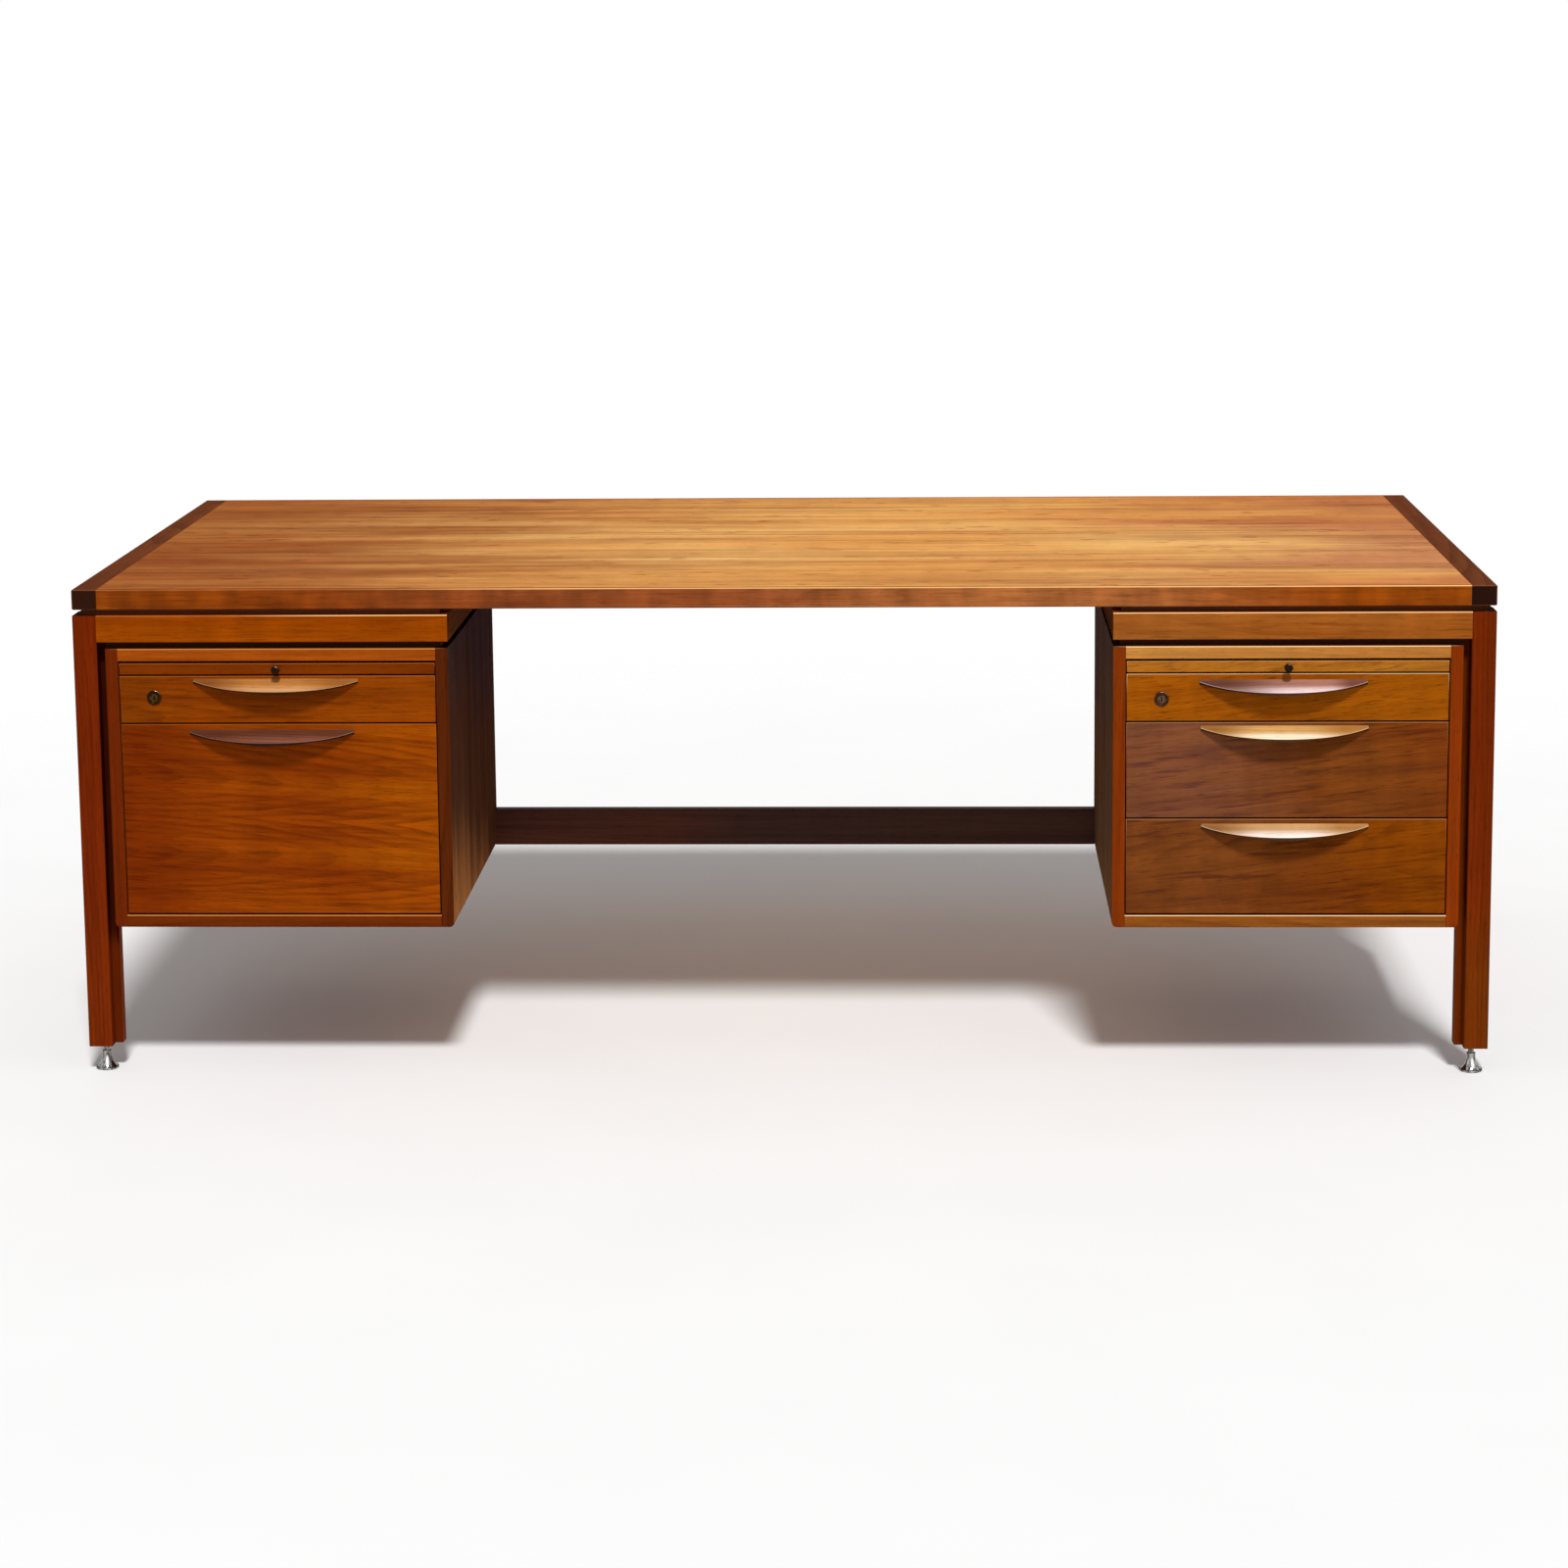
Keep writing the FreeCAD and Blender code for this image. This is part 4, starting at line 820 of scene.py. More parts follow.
# Per end: case edges, legs, rabbets, inner sides and locks are toned to the uneven light on each end as well
# as to their own colour; the right end's paler, bluer tones are partly painted glare
END_TONES_AND_LIGHT: Dict[Side, EndTonesAndLight] = {
    Side.LEFT: EndTonesAndLight(
        case_edges={Panel.OUTER_SIDE: (0.68, 0.46, 0.4), Panel.INNER_SIDE: (0.38, 0.32, 0.6),
                    Panel.TOP: (1.67, 1.65, 1.3), Panel.BOTTOM: (0.68, 0.53, 0.5), Panel.BACK: PLAIN},
        case_arris=(0.60, 0.25, 0.07), cap_end=0.92,
        leg=(1.04, 1.0, 1.0), leg_foot=Drift((1.10, 1.25, 1.0), start=-0.05, end=-0.24, way=ALONG_Z),
        rabbet=PLAIN, rabbet_foot_light=Drift((3.1, 3.3, 1.6), start=-0.15, end=-0.19, way=ALONG_Z, stray=0.05),
        inner_side=(1.0, 1.05, 1.25),
        inner_light_and_shade=both_ends((4.6, 4.6, 2.9), (0.70, 1.05, 2.2), INNER_SPAN, INNER_WAY, INNER_STRAY),
        lock=(0.80, 0.69, 0.46)),
    Side.RIGHT: EndTonesAndLight(
        case_edges={Panel.OUTER_SIDE: (0.93, 0.63, 0.5), Panel.INNER_SIDE: (0.90, 0.70, 0.6),
                    Panel.TOP: (2.5, 5.4, 18.0), Panel.BOTTOM: (1.19, 1.75, 3.5), Panel.BACK: PLAIN},
        case_arris=(0.95, 0.66, 0.36), cap_end=0.99,
        leg=(1.06, 1.22, 1.0), leg_foot=Drift((0.92, 1.35, 1.0), start=-0.05, end=-0.24, way=ALONG_Z),
        rabbet=(2.6, 3.6, 2.0), rabbet_foot_light=Drift(PLAIN, start=-0.15, end=-0.19, way=ALONG_Z, stray=0.05),
        inner_side=(1.35, 1.95, 2.5),
        inner_light_and_shade=both_ends((1.5, 1.25, 1.0), (0.75, 0.95, 1.5), INNER_SPAN, INNER_WAY, INNER_STRAY),
        lock=(1.40, 1.18, 1.4)),
}


def evened(piece: bpy.types.Object) -> None:
    """Give a piece smooth shading with crisp corners and flat flats, as plain mesh data.

    Args:
        piece: The piece, whose modifiers are applied.
    """
    piece.data.shade_smooth()
    piece.data.set_sharp_from_angle(angle=SMOOTH_ANGLE)
    even = piece.modifiers.new("even", "WEIGHTED_NORMAL")
    even.keep_sharp = True
    plain = bpy.data.meshes.new_from_object(piece.evaluated_get(bpy.context.evaluated_depsgraph_get()))
    piece.modifiers.clear()
    piece.data = plain


def place_object(name: str, data: bpy.types.ID) -> bpy.types.Object:
    """Put an object into the scene, at the origin.

    Args:
        name: The object's name.
        data: Its mesh, light or camera.

    Returns:
        The object.
    """
    thing = bpy.data.objects.new(name, data)
    bpy.context.scene.collection.objects.link(thing)
    return thing


def add_object(name: str, work: Work) -> bpy.types.Object:
    """Turn a mesh that is being worked on into an object of the scene.

    Args:
        name: The object's name.
        work: The mesh, which is freed.

    Returns:
        The object.
    """
    mesh = bpy.data.meshes.new(name)
    work.to_mesh(mesh)
    work.free()
    return place_object(name, mesh)


def dress(piece: bpy.types.Object, node: str) -> None:
    """Let a piece stand for a CAD node: it rides on the node's body, and the node is hidden.

    Args:
        piece: The piece.
        node: The node's name.
    """
    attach(piece, BODY_OF[node])
    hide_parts(node)
    LOG.info("%s: %d faces on %s", piece.name, len(piece.data.polygons), BODY_OF[node])


def box_of(faces: Iterable[Face]) -> Tuple[Vector, Vector]:
    """The box around some faces.

    Args:
        faces: The faces.

    Returns:
        Its lowest and highest corner.
    """
    points = [vertex.co for face in faces for vertex in face.verts]
    low = Vector(min(point[i] for point in points) for i in range(3))
    high = Vector(max(point[i] for point in points) for i in range(3))
    return low, high


def islands(work: Work) -> List[List[Face]]:
    """The faces of each separate solid of a mesh.

    Args:
        work: A welded mesh.

    Returns:
        One list of faces for each solid, from left to right.
    """
    left = set(work.faces)
    found = []
    while left:
        first = left.pop()
        group, edge = [first], [first]
        while edge:
            for face in [face for line in edge.pop().edges for face in line.link_faces]:
                if face in left:
                    left.discard(face)
                    group.append(face)
                    edge.append(face)
        found.append(group)
    return sorted(found, key=lambda faces: tuple(round(value, 4) for value in box_of(faces)[0]))


def welded(node: str) -> Work:
    """Copy a CAD node's mesh and weld its loose triangles.

    Args:
        node: The node's name.

    Returns:
        The welded copy.
    """
    work = bmesh.new()
    work.from_mesh(frame["nodes"][node].data)
    bmesh.ops.remove_doubles(work, verts=work.verts, dist=WELD)
    return work


def front_edge(face: Face, low: Vector, high: Vector) -> bool:
    """Whether a face belongs to the edge of a panel that shows at the front."""
    return face.normal.y < FRONT_FACING and face.calc_center_median().y < low.y + FRONT_DEPTH


def in_rabbet(face: Face, low: Vector, high: Vector) -> bool:
    """Whether a face of a leg lies in the rabbet beside the pedestal.

    Args:
        face: The face.
        low: The lowest corner of the leg's box.
        high: The highest corner of the leg's box.

    Returns:
        True where it does.
    """
    centre = face.calc_center_median()
    inner = high.x if low.x < 0 else low.x
    depth = centre.y - low.y if low.y < 0 else high.y - centre.y
    return abs(inner - centre.x) < RABBET_WIDTH and RABBET_DEPTHS[0] < depth < RABBET_DEPTHS[1]


def lathe(work: Work, profile: Sequence[Pair], centre: Vector, turn: Matrix) -> None:
    """Add a turned solid to a mesh.

    Args:
        work: The mesh to add to.
        profile: Radius and height of each point, from one end to the other, in metres.
        centre: Where height 0 is.
        turn: The rotation that lays Z along the turning's axis.
    """
    rings = []
    for radius, height in profile:
        count = TURNING_STEPS if radius > WELD else 1
        angles = [2 * math.pi * i / TURNING_STEPS for i in range(count)]
        points = [Vector((radius * math.cos(a), radius * math.sin(a), height)) for a in angles]
        rings.append([work.verts.new(centre + turn @ point) for point in points])
    for lower, upper in zip(rings, rings[1:]):
        for i in range(TURNING_STEPS):
            j = (i + 1) % TURNING_STEPS
            corners = (lower[i % len(lower)], lower[j % len(lower)],
                       upper[j % len(upper)], upper[i % len(upper)])
            unique = list(dict.fromkeys(corners))
            if len(unique) > 2:
                work.faces.new(unique)


def spaced(start: float, end: float, steps: int) -> List[float]:
    """Evenly spaced numbers from start to end."""
    return [start + (end - start) * i / steps for i in range(steps + 1)]


def arc(centre: Pair, radius: float, start: float, end: float, steps: int) -> List[Pair]:
    """Points on a circle's arc, from one angle in degrees to another."""
    angles = [math.radians(angle) for angle in spaced(start, end, steps)]
    return [(centre[0] + radius * math.cos(a), centre[1] + radius * math.sin(a)) for a in angles]


def bend(start: Pair, corner: Pair, end: Pair, steps: int) -> List[Pair]:
    """Points after start on a soft bend round a corner to end."""
    return [tuple((1 - t) ** 2 * a + 2 * t * (1 - t) * b + t * t * c for a, b, c in zip(start, corner, end))
            for t in spaced(0.0, 1.0, steps)[1:]]


def meet(gap: Callable[[float], float], low: float, high: float) -> float:
    """Find where a falling gap reaches nothing.

    Args:
        gap: The gap at a place.
        low: A place before the meeting.
        high: A place after it.

    Returns:
        The place of the meeting.
    """
    for _ in range(HALVINGS):
        middle = (low + high) / 2
        low, high = (middle, high) if gap(middle) > 0 else (low, middle)
    return (low + high) / 2


class Joiner:
    """Fits pieces to CAD nodes, and gives each board and fitting its own number."""

    def __init__(self) -> None:
        """Start with the first number."""
        self.count = 0

    def seed(self) -> float:
        """The next piece's own number."""
        self.count += 1
        return self.count * SEED_STEP

    def fit(self, node: str, work: Work, materials: Iterable[bpy.types.Material]) -> None:
        """Make a finished mesh the piece of a CAD node.

        Args:
            node: The node to stand for.
            work: The mesh.
            materials: Its materials, in the order of its faces' numbers.
        """
        piece = add_object("dressed_" + node, work)
        for material in materials:
            piece.data.materials.append(material)
        evened(piece)
        dress(piece, node)

    def boards(self, node: str, *finishes: WoodFinish, grain: Optional[Grain] = None,
               patch: Optional[WoodFinish] = None, where: Optional[FacePick] = None) -> None:
        """Make the boards of one CAD node: welded, evenly shaded, each solid with its own figure.

        Args:
            node: The node to stand for.
            finishes: The wood of each board from left to right; the last serves the rest.
            grain: The way the fibres run, or None for along each board's longest side.
            patch: The wood of some faces, where it isn't the board's own.
            where: Which faces those are, from a face and the corners of the board's box.
        """
        work = welded(node)
        layers = work.faces.layers.float
        for name in ("arris", "end"):
            layers.new(name)
        arris, end = layers["arris"], layers["end"]
        materials = []
        for number, faces in enumerate(islands(work)):
            low, high = box_of(faces)
            centre = (low + high) / 2
            way = grain or Grain.longest(high - low)
            finish = finishes[min(number, len(finishes) - 1)]
            label = "%s_%d" % (node, number)
            first = len(materials)
            materials.append(finish.material(label, way, centre, self.seed()))
            if patch:
                materials.append(patch.material(label + "_patch", way, centre, self.seed()))
            for face in faces:
                face.material_index = first + 1 if patch and where(face, low, high) else first
                face[arris] = 0.0 if max(abs(value) for value in face.normal) > FLAT_SHARE else 1.0
                face[end] = 1.0 if abs(face.normal[way.axis]) > END_SHARE else 0.0
        self.fit(node, work, materials)

    def turning(self, node: str, profile: Sequence[Pair], centre: Vector, turn: Matrix,
                finish: MetalFinish) -> None:
        """Make the piece of a CAD node by turning a profile.

        Args:
            node: The node to stand for.
            profile: Radius and height of each point.
            centre: Where height 0 is.
            turn: The rotation that lays Z along the axis.
            finish: The metal.
        """
        work = bmesh.new()
        lathe(work, profile, centre, turn)
        bmesh.ops.recalc_face_normals(work, faces=work.faces)
        self.fit(node, work, [finish.material(node, self.seed())])

    def paint(self, node: str, finish: MetalFinish) -> None:
        """Give a CAD node that stays as it is a metal.

        Args:
            node: The node's name.
            finish: The metal.
        """
        body = frame["nodes"][node].data
        body.materials.clear()
        body.materials.append(finish.material(node, self.seed()))
        LOG.info("%s: painted %s", node, finish.name)


@dataclass
class DeskTop:
    """The floating top: veneered panel, lippings and dark end caps."""

    joiner: Joiner

    def build(self) -> None:
        """Make and dress every board of the top."""
        self.joiner.boards("top_panel", WALNUT_TOP, grain=Grain.X)
        self.joiner.boards("top_edge_lippings", WALNUT_EDGE, grain=Grain.X_UPRIGHT)
        for side in Side:
            wood = replace(ROSEWOOD, end_show=END_TONES_AND_LIGHT[side].cap_end)
            self.joiner.boards("top_end_cap_" + side.value, wood, grain=Grain.Y)


@dataclass
class UnderFrame:
    """Aprons, rails, shadow strips and the stretcher."""

    joiner: Joiner

    def build(self) -> None:
        """Make and dress the frame's boards."""
        self.joiner.boards("front_aprons", LEFT_APRON, RIGHT_APRON, grain=Grain.X_UPRIGHT)
        self.joiner.boards("rear_apron", WALNUT_FRAME, grain=Grain.X_UPRIGHT)
        self.joiner.boards("side_rails", WALNUT_FRAME)
        # The rails between the pedestals take the inner sides' painted shade and light
        self.joiner.boards("pedestal_rails", replace(WALNUT_SIDE_IN_SHADE, drifts=END_TONES_AND_LIGHT[Side.LEFT].inner_light_and_shade))
        self.joiner.boards("rear_stretcher", SHADED_STRETCHER)
        self.joiner.boards("top_spacer_strips", SHADOW_STRIP)
        self.joiner.boards("pedestal_hanger_strips", SHADOW_STRIP)


@dataclass
class Legs:
    """Four rabbeted legs on chromed levelling glides."""

    joiner: Joiner
    rim: float = 17.5 * MM
    rim_height: float = 3.0 * MM
    waist: float = 15.0 * MM
    collar: float = 7.0 * MM
    bell_top: float = 25.0 * MM
    flare: float = 28.0 * MM
    collar_height: float = 3.0 * MM
    stem: float = 4.5 * MM
    ease: float = 0.6 * MM
    ease_steps: int = 4
    flare_steps: int = 14

    def build(self) -> None:
        """Make the legs, their glides and their sleeves."""
        for row in ("front", "rear"):
            for side in Side:
                place = "%s_%s" % (row, side.value)
                tones_and_light = END_TONES_AND_LIGHT[side]
                wood = replace(WALNUT_LEG.toned(tones_and_light.leg), drifts=(tones_and_light.leg_foot,))
                # The rabbet faces take the near-black wood: painted shade in the recess, lighter low down
                dark = replace(SHADED_RABBET.toned(tones_and_light.rabbet), drifts=(tones_and_light.rabbet_foot_light,))
                self.joiner.boards("leg_" + place, wood, grain=Grain.Z, patch=dark, where=in_rabbet)
                self.glide("glide_" + place)
        self.joiner.paint("leg_sleeves", SCREW_STEEL)

    def profile(self, height: float) -> List[Pair]:
        """The glide's outline: a rim, a flared bell, a collar and a stem.

        Args:
            height: The glide's whole height.

        Returns:
            Radius and height of each point, from its foot to the end of its stem.
        """
        ease, steps = self.ease, self.ease_steps
        span = Vector((self.waist - self.collar, self.bell_top - self.rim_height))
        away = math.sqrt(self.flare ** 2 - span.length ** 2 / 4)
        middle = Vector(((self.waist + self.collar) / 2, (self.rim_height + self.bell_top) / 2))
        hub = middle + away * Vector((span.y, span.x)) / span.length
        start = math.degrees(math.atan2(self.rim_height - hub.y, self.waist - hub.x)) % 360
        end = math.degrees(math.atan2(self.bell_top - hub.y, self.collar - hub.x)) % 360
        top = self.bell_top + self.collar_height
        return [(0.0, 0.0), (self.rim - ease, 0.0),
                *arc((self.rim - ease, ease), ease, -90, 0, steps),
                *arc((self.rim - ease, self.rim_height - ease), ease, 0, 90, steps),
                *arc((hub.x, hub.y), self.flare, start, end, self.flare_steps),
                *arc((self.collar - ease, top - ease), ease, 0, 90, steps),
                (self.stem, top), (self.stem, height - ease), (self.stem - ease, height), (0.0, height)]

    def glide(self, node: str) -> None:
        """Turn one glide on its own axis.

        Args:
            node: The glide's node.
        """
        low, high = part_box(node)
        centre = Vector(((low.x + high.x) / 2, (low.y + high.y) / 2, low.z))
        self.joiner.turning(node, self.profile(high.z - low.z), centre, UPRIGHT, CHROME)


@dataclass
class Pedestal:
    """One hung case of five panels."""

    joiner: Joiner
    side: Side

    def build(self) -> None:
        """Make and dress the five panels."""
        tones_and_light = END_TONES_AND_LIGHT[self.side]
        # The inner side's darker walnut and its drifts are painted shade and light
        inner = replace(WALNUT_SIDE_IN_SHADE.toned(tones_and_light.inner_side), drifts=tones_and_light.inner_light_and_shade)
        for panel in Panel:
            edge = replace(WALNUT_CASE.toned(tones_and_light.case_edges[panel]), arris=tones_and_light.case_arris)
            self.joiner.boards("pedestal_%s_%s" % (self.side.value, panel.value),
                               inner if panel is Panel.INNER_SIDE else WALNUT_PANEL,
                               grain=Grain.Z if panel in (Panel.OUTER_SIDE, Panel.INNER_SIDE) else Grain.X,
                               patch=edge, where=front_edge)


@dataclass
class Pull:
    """A carved crescent pull: dished above, undercut and grooved below, drawn out to two tips."""

    joiner: Joiner
    node: str
    finish: WoodFinish
    lip: float = 5.5 * MM
    undercut: float = 5.0 * MM
    back: float = 13.0 * MM
    tip_depth: float = 4.0 * MM
    tip_height: float = 7.0 * MM
    tip_rise: float = 12.5 * MM
    dish: float = 45.0 * MM
    groove: float = 12.0 * MM
    groove_depth: float = 2.0 * MM
    ease: float = 1.0 * MM
    ease_share: float = 0.36
    turn_share: float = 0.3
    stations: int = 88
    steps: int = 14
    round_steps: int = 5
    face_steps: int = 3
    low: Vector = field(init=False)
    high: Vector = field(init=False)
    half: float = field(init=False)
    depth: float = field(init=False)
    height: float = field(init=False)
    lean: float = field(init=False)
    plan: float = field(init=False)
    bow: float = field(init=False)
    dish_hub: Pair = field(init=False)

    def __post_init__(self) -> None:
        """Work out the arcs that the pull is carved to."""
        self.low, self.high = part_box(self.node)
        size = self.high - self.low
        self.half, self.depth, self.height = size.x / 2, size.y, size.z
        slope = self.height - self.lip
        chord = math.hypot(self.depth, slope)
        away = math.sqrt(self.dish ** 2 - chord ** 2 / 4)
        self.dish_hub = (self.depth / 2 - away * slope / chord,
                         self.lip + slope / 2 + away * self.depth / chord)
        self.lean = self.undercut / self.lip
        rise = self.depth - self.tip_depth
        lift = self.lean * self.tip_rise
        self.plan = (self.half ** 2 + rise ** 2 - lift ** 2) / (2 * (rise + lift))
        sweep = self.height - self.tip_height
        self.bow = (self.half ** 2 + sweep ** 2) / (2 * sweep)

    def above(self, y: float) -> float:
        """Height of the dished top at a depth behind the lip."""
        return self.dish_hub[1] - math.sqrt(self.dish ** 2 - (y - self.dish_hub[0]) ** 2)

    def ahead(self, along: float, z: float) -> float:
        """Depth of the leaning front at a place along the pull and a height."""
        radius = self.plan + self.lean * (z - self.lip)
        return min(self.plan - math.sqrt(radius ** 2 - along ** 2), self.depth)

    def below(self, along: float, y: float) -> float:
        """The underside: a slope with a finger groove, cut off by the bow of the pull.

        Args:
            along: The distance from the pull's middle.
            y: The depth behind the lip.

        Returns:
            The height of the underside there.
        """
        fall = (self.height - self.back) * (y - self.undercut) / (self.depth - self.undercut)
        bow = self.bow - math.sqrt(self.bow ** 2 - along ** 2)
        off = y - (self.depth + self.undercut) / 2
        hub = (self.height - self.back) / 2 + self.groove_depth - self.groove
        scoop = hub + math.sqrt(self.groove ** 2 - off ** 2) if abs(off) < self.groove else fall
        return max(fall, bow, scoop)

    def section(self, along: float) -> List[Pair]:
        """The pull's outline across one place.

        Args:
            along: The distance from the pull's middle.

        Returns:
            Depth and height of each point, from the top of the back round the lip to the foot of the back.
        """
        crest = meet(lambda y: self.ahead(along, self.above(y)) - y, 0.0, self.depth)
        peak = self.above(crest)
        foot = meet(lambda z: self.below(along, self.ahead(along, z)) - z, 0.0, peak)
        toe = self.ahead(along, foot)
        soft = min(self.ease, self.ease_share * (peak - foot))
        turn = crest + min(soft, self.turn_share * (self.depth - crest))
        start = toe + min(soft, self.turn_share * (self.depth - toe))
        upper = (self.ahead(along, peak - soft), peak - soft)
        lower = (self.ahead(along, foot + soft), foot + soft)
        return [*((y, self.above(y)) for y in spaced(self.depth, turn, self.steps)),
                *bend((turn, self.above(turn)), (crest, peak), upper, self.round_steps),
                *((self.ahead(along, z), z) for z in spaced(upper[1], lower[1], self.face_steps)[1:]),
                *bend(lower, (toe, foot), (start, self.below(along, start)), self.round_steps),
                *((y, self.below(along, y)) for y in spaced(start, self.depth, self.steps)[1:])]

    def build(self) -> None:
        """Loft the sections from tip to tip and dress the pull."""
        work = bmesh.new()
        arris = work.faces.layers.float.new("arris")
        centre = (self.low + self.high) / 2
        rows = []
        for i in range(self.stations + 1):
            along = -self.half * math.cos(math.pi * i / self.stations)
            rows.append([work.verts.new((centre.x + along, self.low.y + y, self.low.z + z))
                         for y, z in self.section(along)])
        count = len(rows[0])
        rounded = range(self.steps, self.steps + self.round_steps)
        for left, right in zip(rows, rows[1:]):
            for j in range(count):
                k = (j + 1) % count
                face = work.faces.new((left[j], left[k], right[k], right[j]))
                face[arris] = 1.0 if j in rounded else 0.0
        for row in (rows[0], rows[-1]):
            work.faces.new(row)
        bmesh.ops.remove_doubles(work, verts=work.verts, dist=WELD)
        bmesh.ops.recalc_face_normals(work, faces=work.faces)
        wood = self.finish.material(self.node, Grain.X, centre, self.joiner.seed())
        self.joiner.fit(self.node, work, [wood])


@dataclass
class Drawer:
    """A drawer: veneered front, pale box and a carved crescent pull."""

    joiner: Joiner
    name: str
    front: WoodFinish
    pull: WoodFinish

    def build(self) -> None:
        """Make and dress the drawer's pieces."""
        self.joiner.boards(self.name + "_front", self.front, grain=Grain.X_UPRIGHT)
        self.joiner.boards(self.name + "_box", DRAWER_BOX)
        Pull(self.joiner, self.name + "_pull", self.pull).build()


@dataclass
class WritingSlide:
    """A pull-out writing slide with a small turned knob."""

    joiner: Joiner
    side: Side
    finish: WoodFinish
    stem: float = 2.0 * MM
    stem_length: float = 12.0 * MM
    neck: float = 3.0 * MM
    neck_length: float = 9.0 * MM
    rounding: float = 2.2 * MM
    shoulder_steps: int = 4
    dome_steps: int = 8

    def build(self) -> None:
        """Make the board and turn the knob."""
        self.joiner.boards("writing_slide_" + self.side.value, self.finish, grain=Grain.X_UPRIGHT)
        node = "slide_knob_" + self.side.value
        low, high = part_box(node)
        head, length = (high.x - low.x) / 2, high.y - low.y
        shoulder = self.stem_length + self.neck_length
        soft = self.rounding
        profile = [(0.0, 0.0), (self.stem, 0.0), (self.stem, self.stem_length),
                   (self.neck, self.stem_length), (self.neck, shoulder),
                   *arc((head - soft / 2, shoulder + soft / 2), soft / 2, -90, 0, self.shoulder_steps),
                   *arc((head - soft, length - soft), soft, 0, 90, self.dome_steps),
                   (0.0, length)]
        centre = Vector(((low.x + high.x) / 2, high.y, (low.z + high.z) / 2))
        self.joiner.turning(node, profile, centre, FORWARD, KNOB_BLACK)


@dataclass
class DrawerLock:
    """A drawer lock: turned bronze rim and barrel on a back plate, slotted plug and bolt."""

    joiner: Joiner
    side: Side
    rim: float = 11.0 * MM
    rim_height: float = 1.6 * MM
    barrel: float = 9.0 * MM
    bore: float = 6.08 * MM
    land: float = 8.3 * MM
    sink: float = 0.45 * MM
    ease: float = 0.7 * MM
    ease_steps: int = 6
    plug_ease: float = 0.35 * MM
    plug_ease_steps: int = 2
    keyway: float = 4.6 * MM
    flat_angle: float = math.radians(1)
    sharp_angle: float = math.radians(60)

    def build(self) -> None:
        """Turn the case, and ease the bolt and the plug."""
        plug = "lock_plug_" + self.side.value
        low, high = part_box(plug)
        centre = (low + high) / 2
        self.case("lock_case_" + self.side.value, centre)
        bolt = "lock_bolt_" + self.side.value
        steel = LOCK_STEEL.toned(END_TONES_AND_LIGHT[self.side].lock)
        self.finish(bolt, self.eased(bolt), steel)
        work = self.eased(plug)
        for face in work.faces:
            place = face.calc_center_median()
            inner = math.hypot(place.x - centre.x, place.z - centre.z) < self.keyway
            face.material_index = 1 if inner and place.y > low.y + self.plug_ease / 2 else 0
        self.finish(plug, work, steel, KEYWAY_BLACK)

    def case(self, node: str, centre: Vector) -> None:
        """Turn the rim and barrel, and set the back plate behind them.

        Args:
            node: The case's node.
            centre: A point on the lock's axis.
        """
        solid = welded(node)
        boxes = [box_of(faces) for faces in islands(solid)]
        solid.free()
        (front, rear), (plate_low, plate_high) = sorted(boxes, key=lambda pair: pair[0].y)
        length = rear.y - front.y
        profile = [(self.bore, 0.0), (self.barrel, 0.0), (self.barrel, length - self.rim_height),
                   (self.rim, length - self.rim_height),
                   *arc((self.rim - self.ease, length - self.ease), self.ease, 0, 90, self.ease_steps),
                   (self.land + self.sink / 2, length), (self.land, length - self.sink),
                   (self.bore, length - self.sink), (self.bore, 0.0)]
        work = bmesh.new()
        lathe(work, profile, Vector((centre.x, rear.y, centre.z)), FORWARD)
        plate = bmesh.ops.create_cube(work, size=1.0)["verts"]
        shape = Matrix.Diagonal((*(plate_high - plate_low), 1.0))
        place = Matrix.Translation((plate_low + plate_high) / 2)
        bmesh.ops.transform(work, verts=plate, matrix=place @ shape)
        bmesh.ops.remove_doubles(work, verts=work.verts, dist=WELD)
        bmesh.ops.recalc_face_normals(work, faces=work.faces)
        self.finish(node, work, DARK_BRONZE.toned(END_TONES_AND_LIGHT[self.side].lock))

    def eased(self, node: str) -> Work:
        """Soften the corners of a CAD node.

        Args:
            node: The node's name.

        Returns:
            A softened copy of its mesh.
        """
        work = welded(node)
        bmesh.ops.dissolve_limit(work, angle_limit=self.flat_angle, verts=work.verts, edges=work.edges)
        sharp = [edge for edge in work.edges
                 if edge.is_manifold and edge.calc_face_angle() > self.sharp_angle]
        bmesh.ops.bevel(work, geom=sharp, offset=self.plug_ease, segments=self.plug_ease_steps, profile=0.5,
                        affect="EDGES", clamp_overlap=True)
        return work

    def finish(self, node: str, work: Work, *finishes: MetalFinish) -> None:
        """Fit a mesh to its node, in its metals."""
        self.joiner.fit(node, work, [finish.material(node, self.joiner.seed()) for finish in finishes])


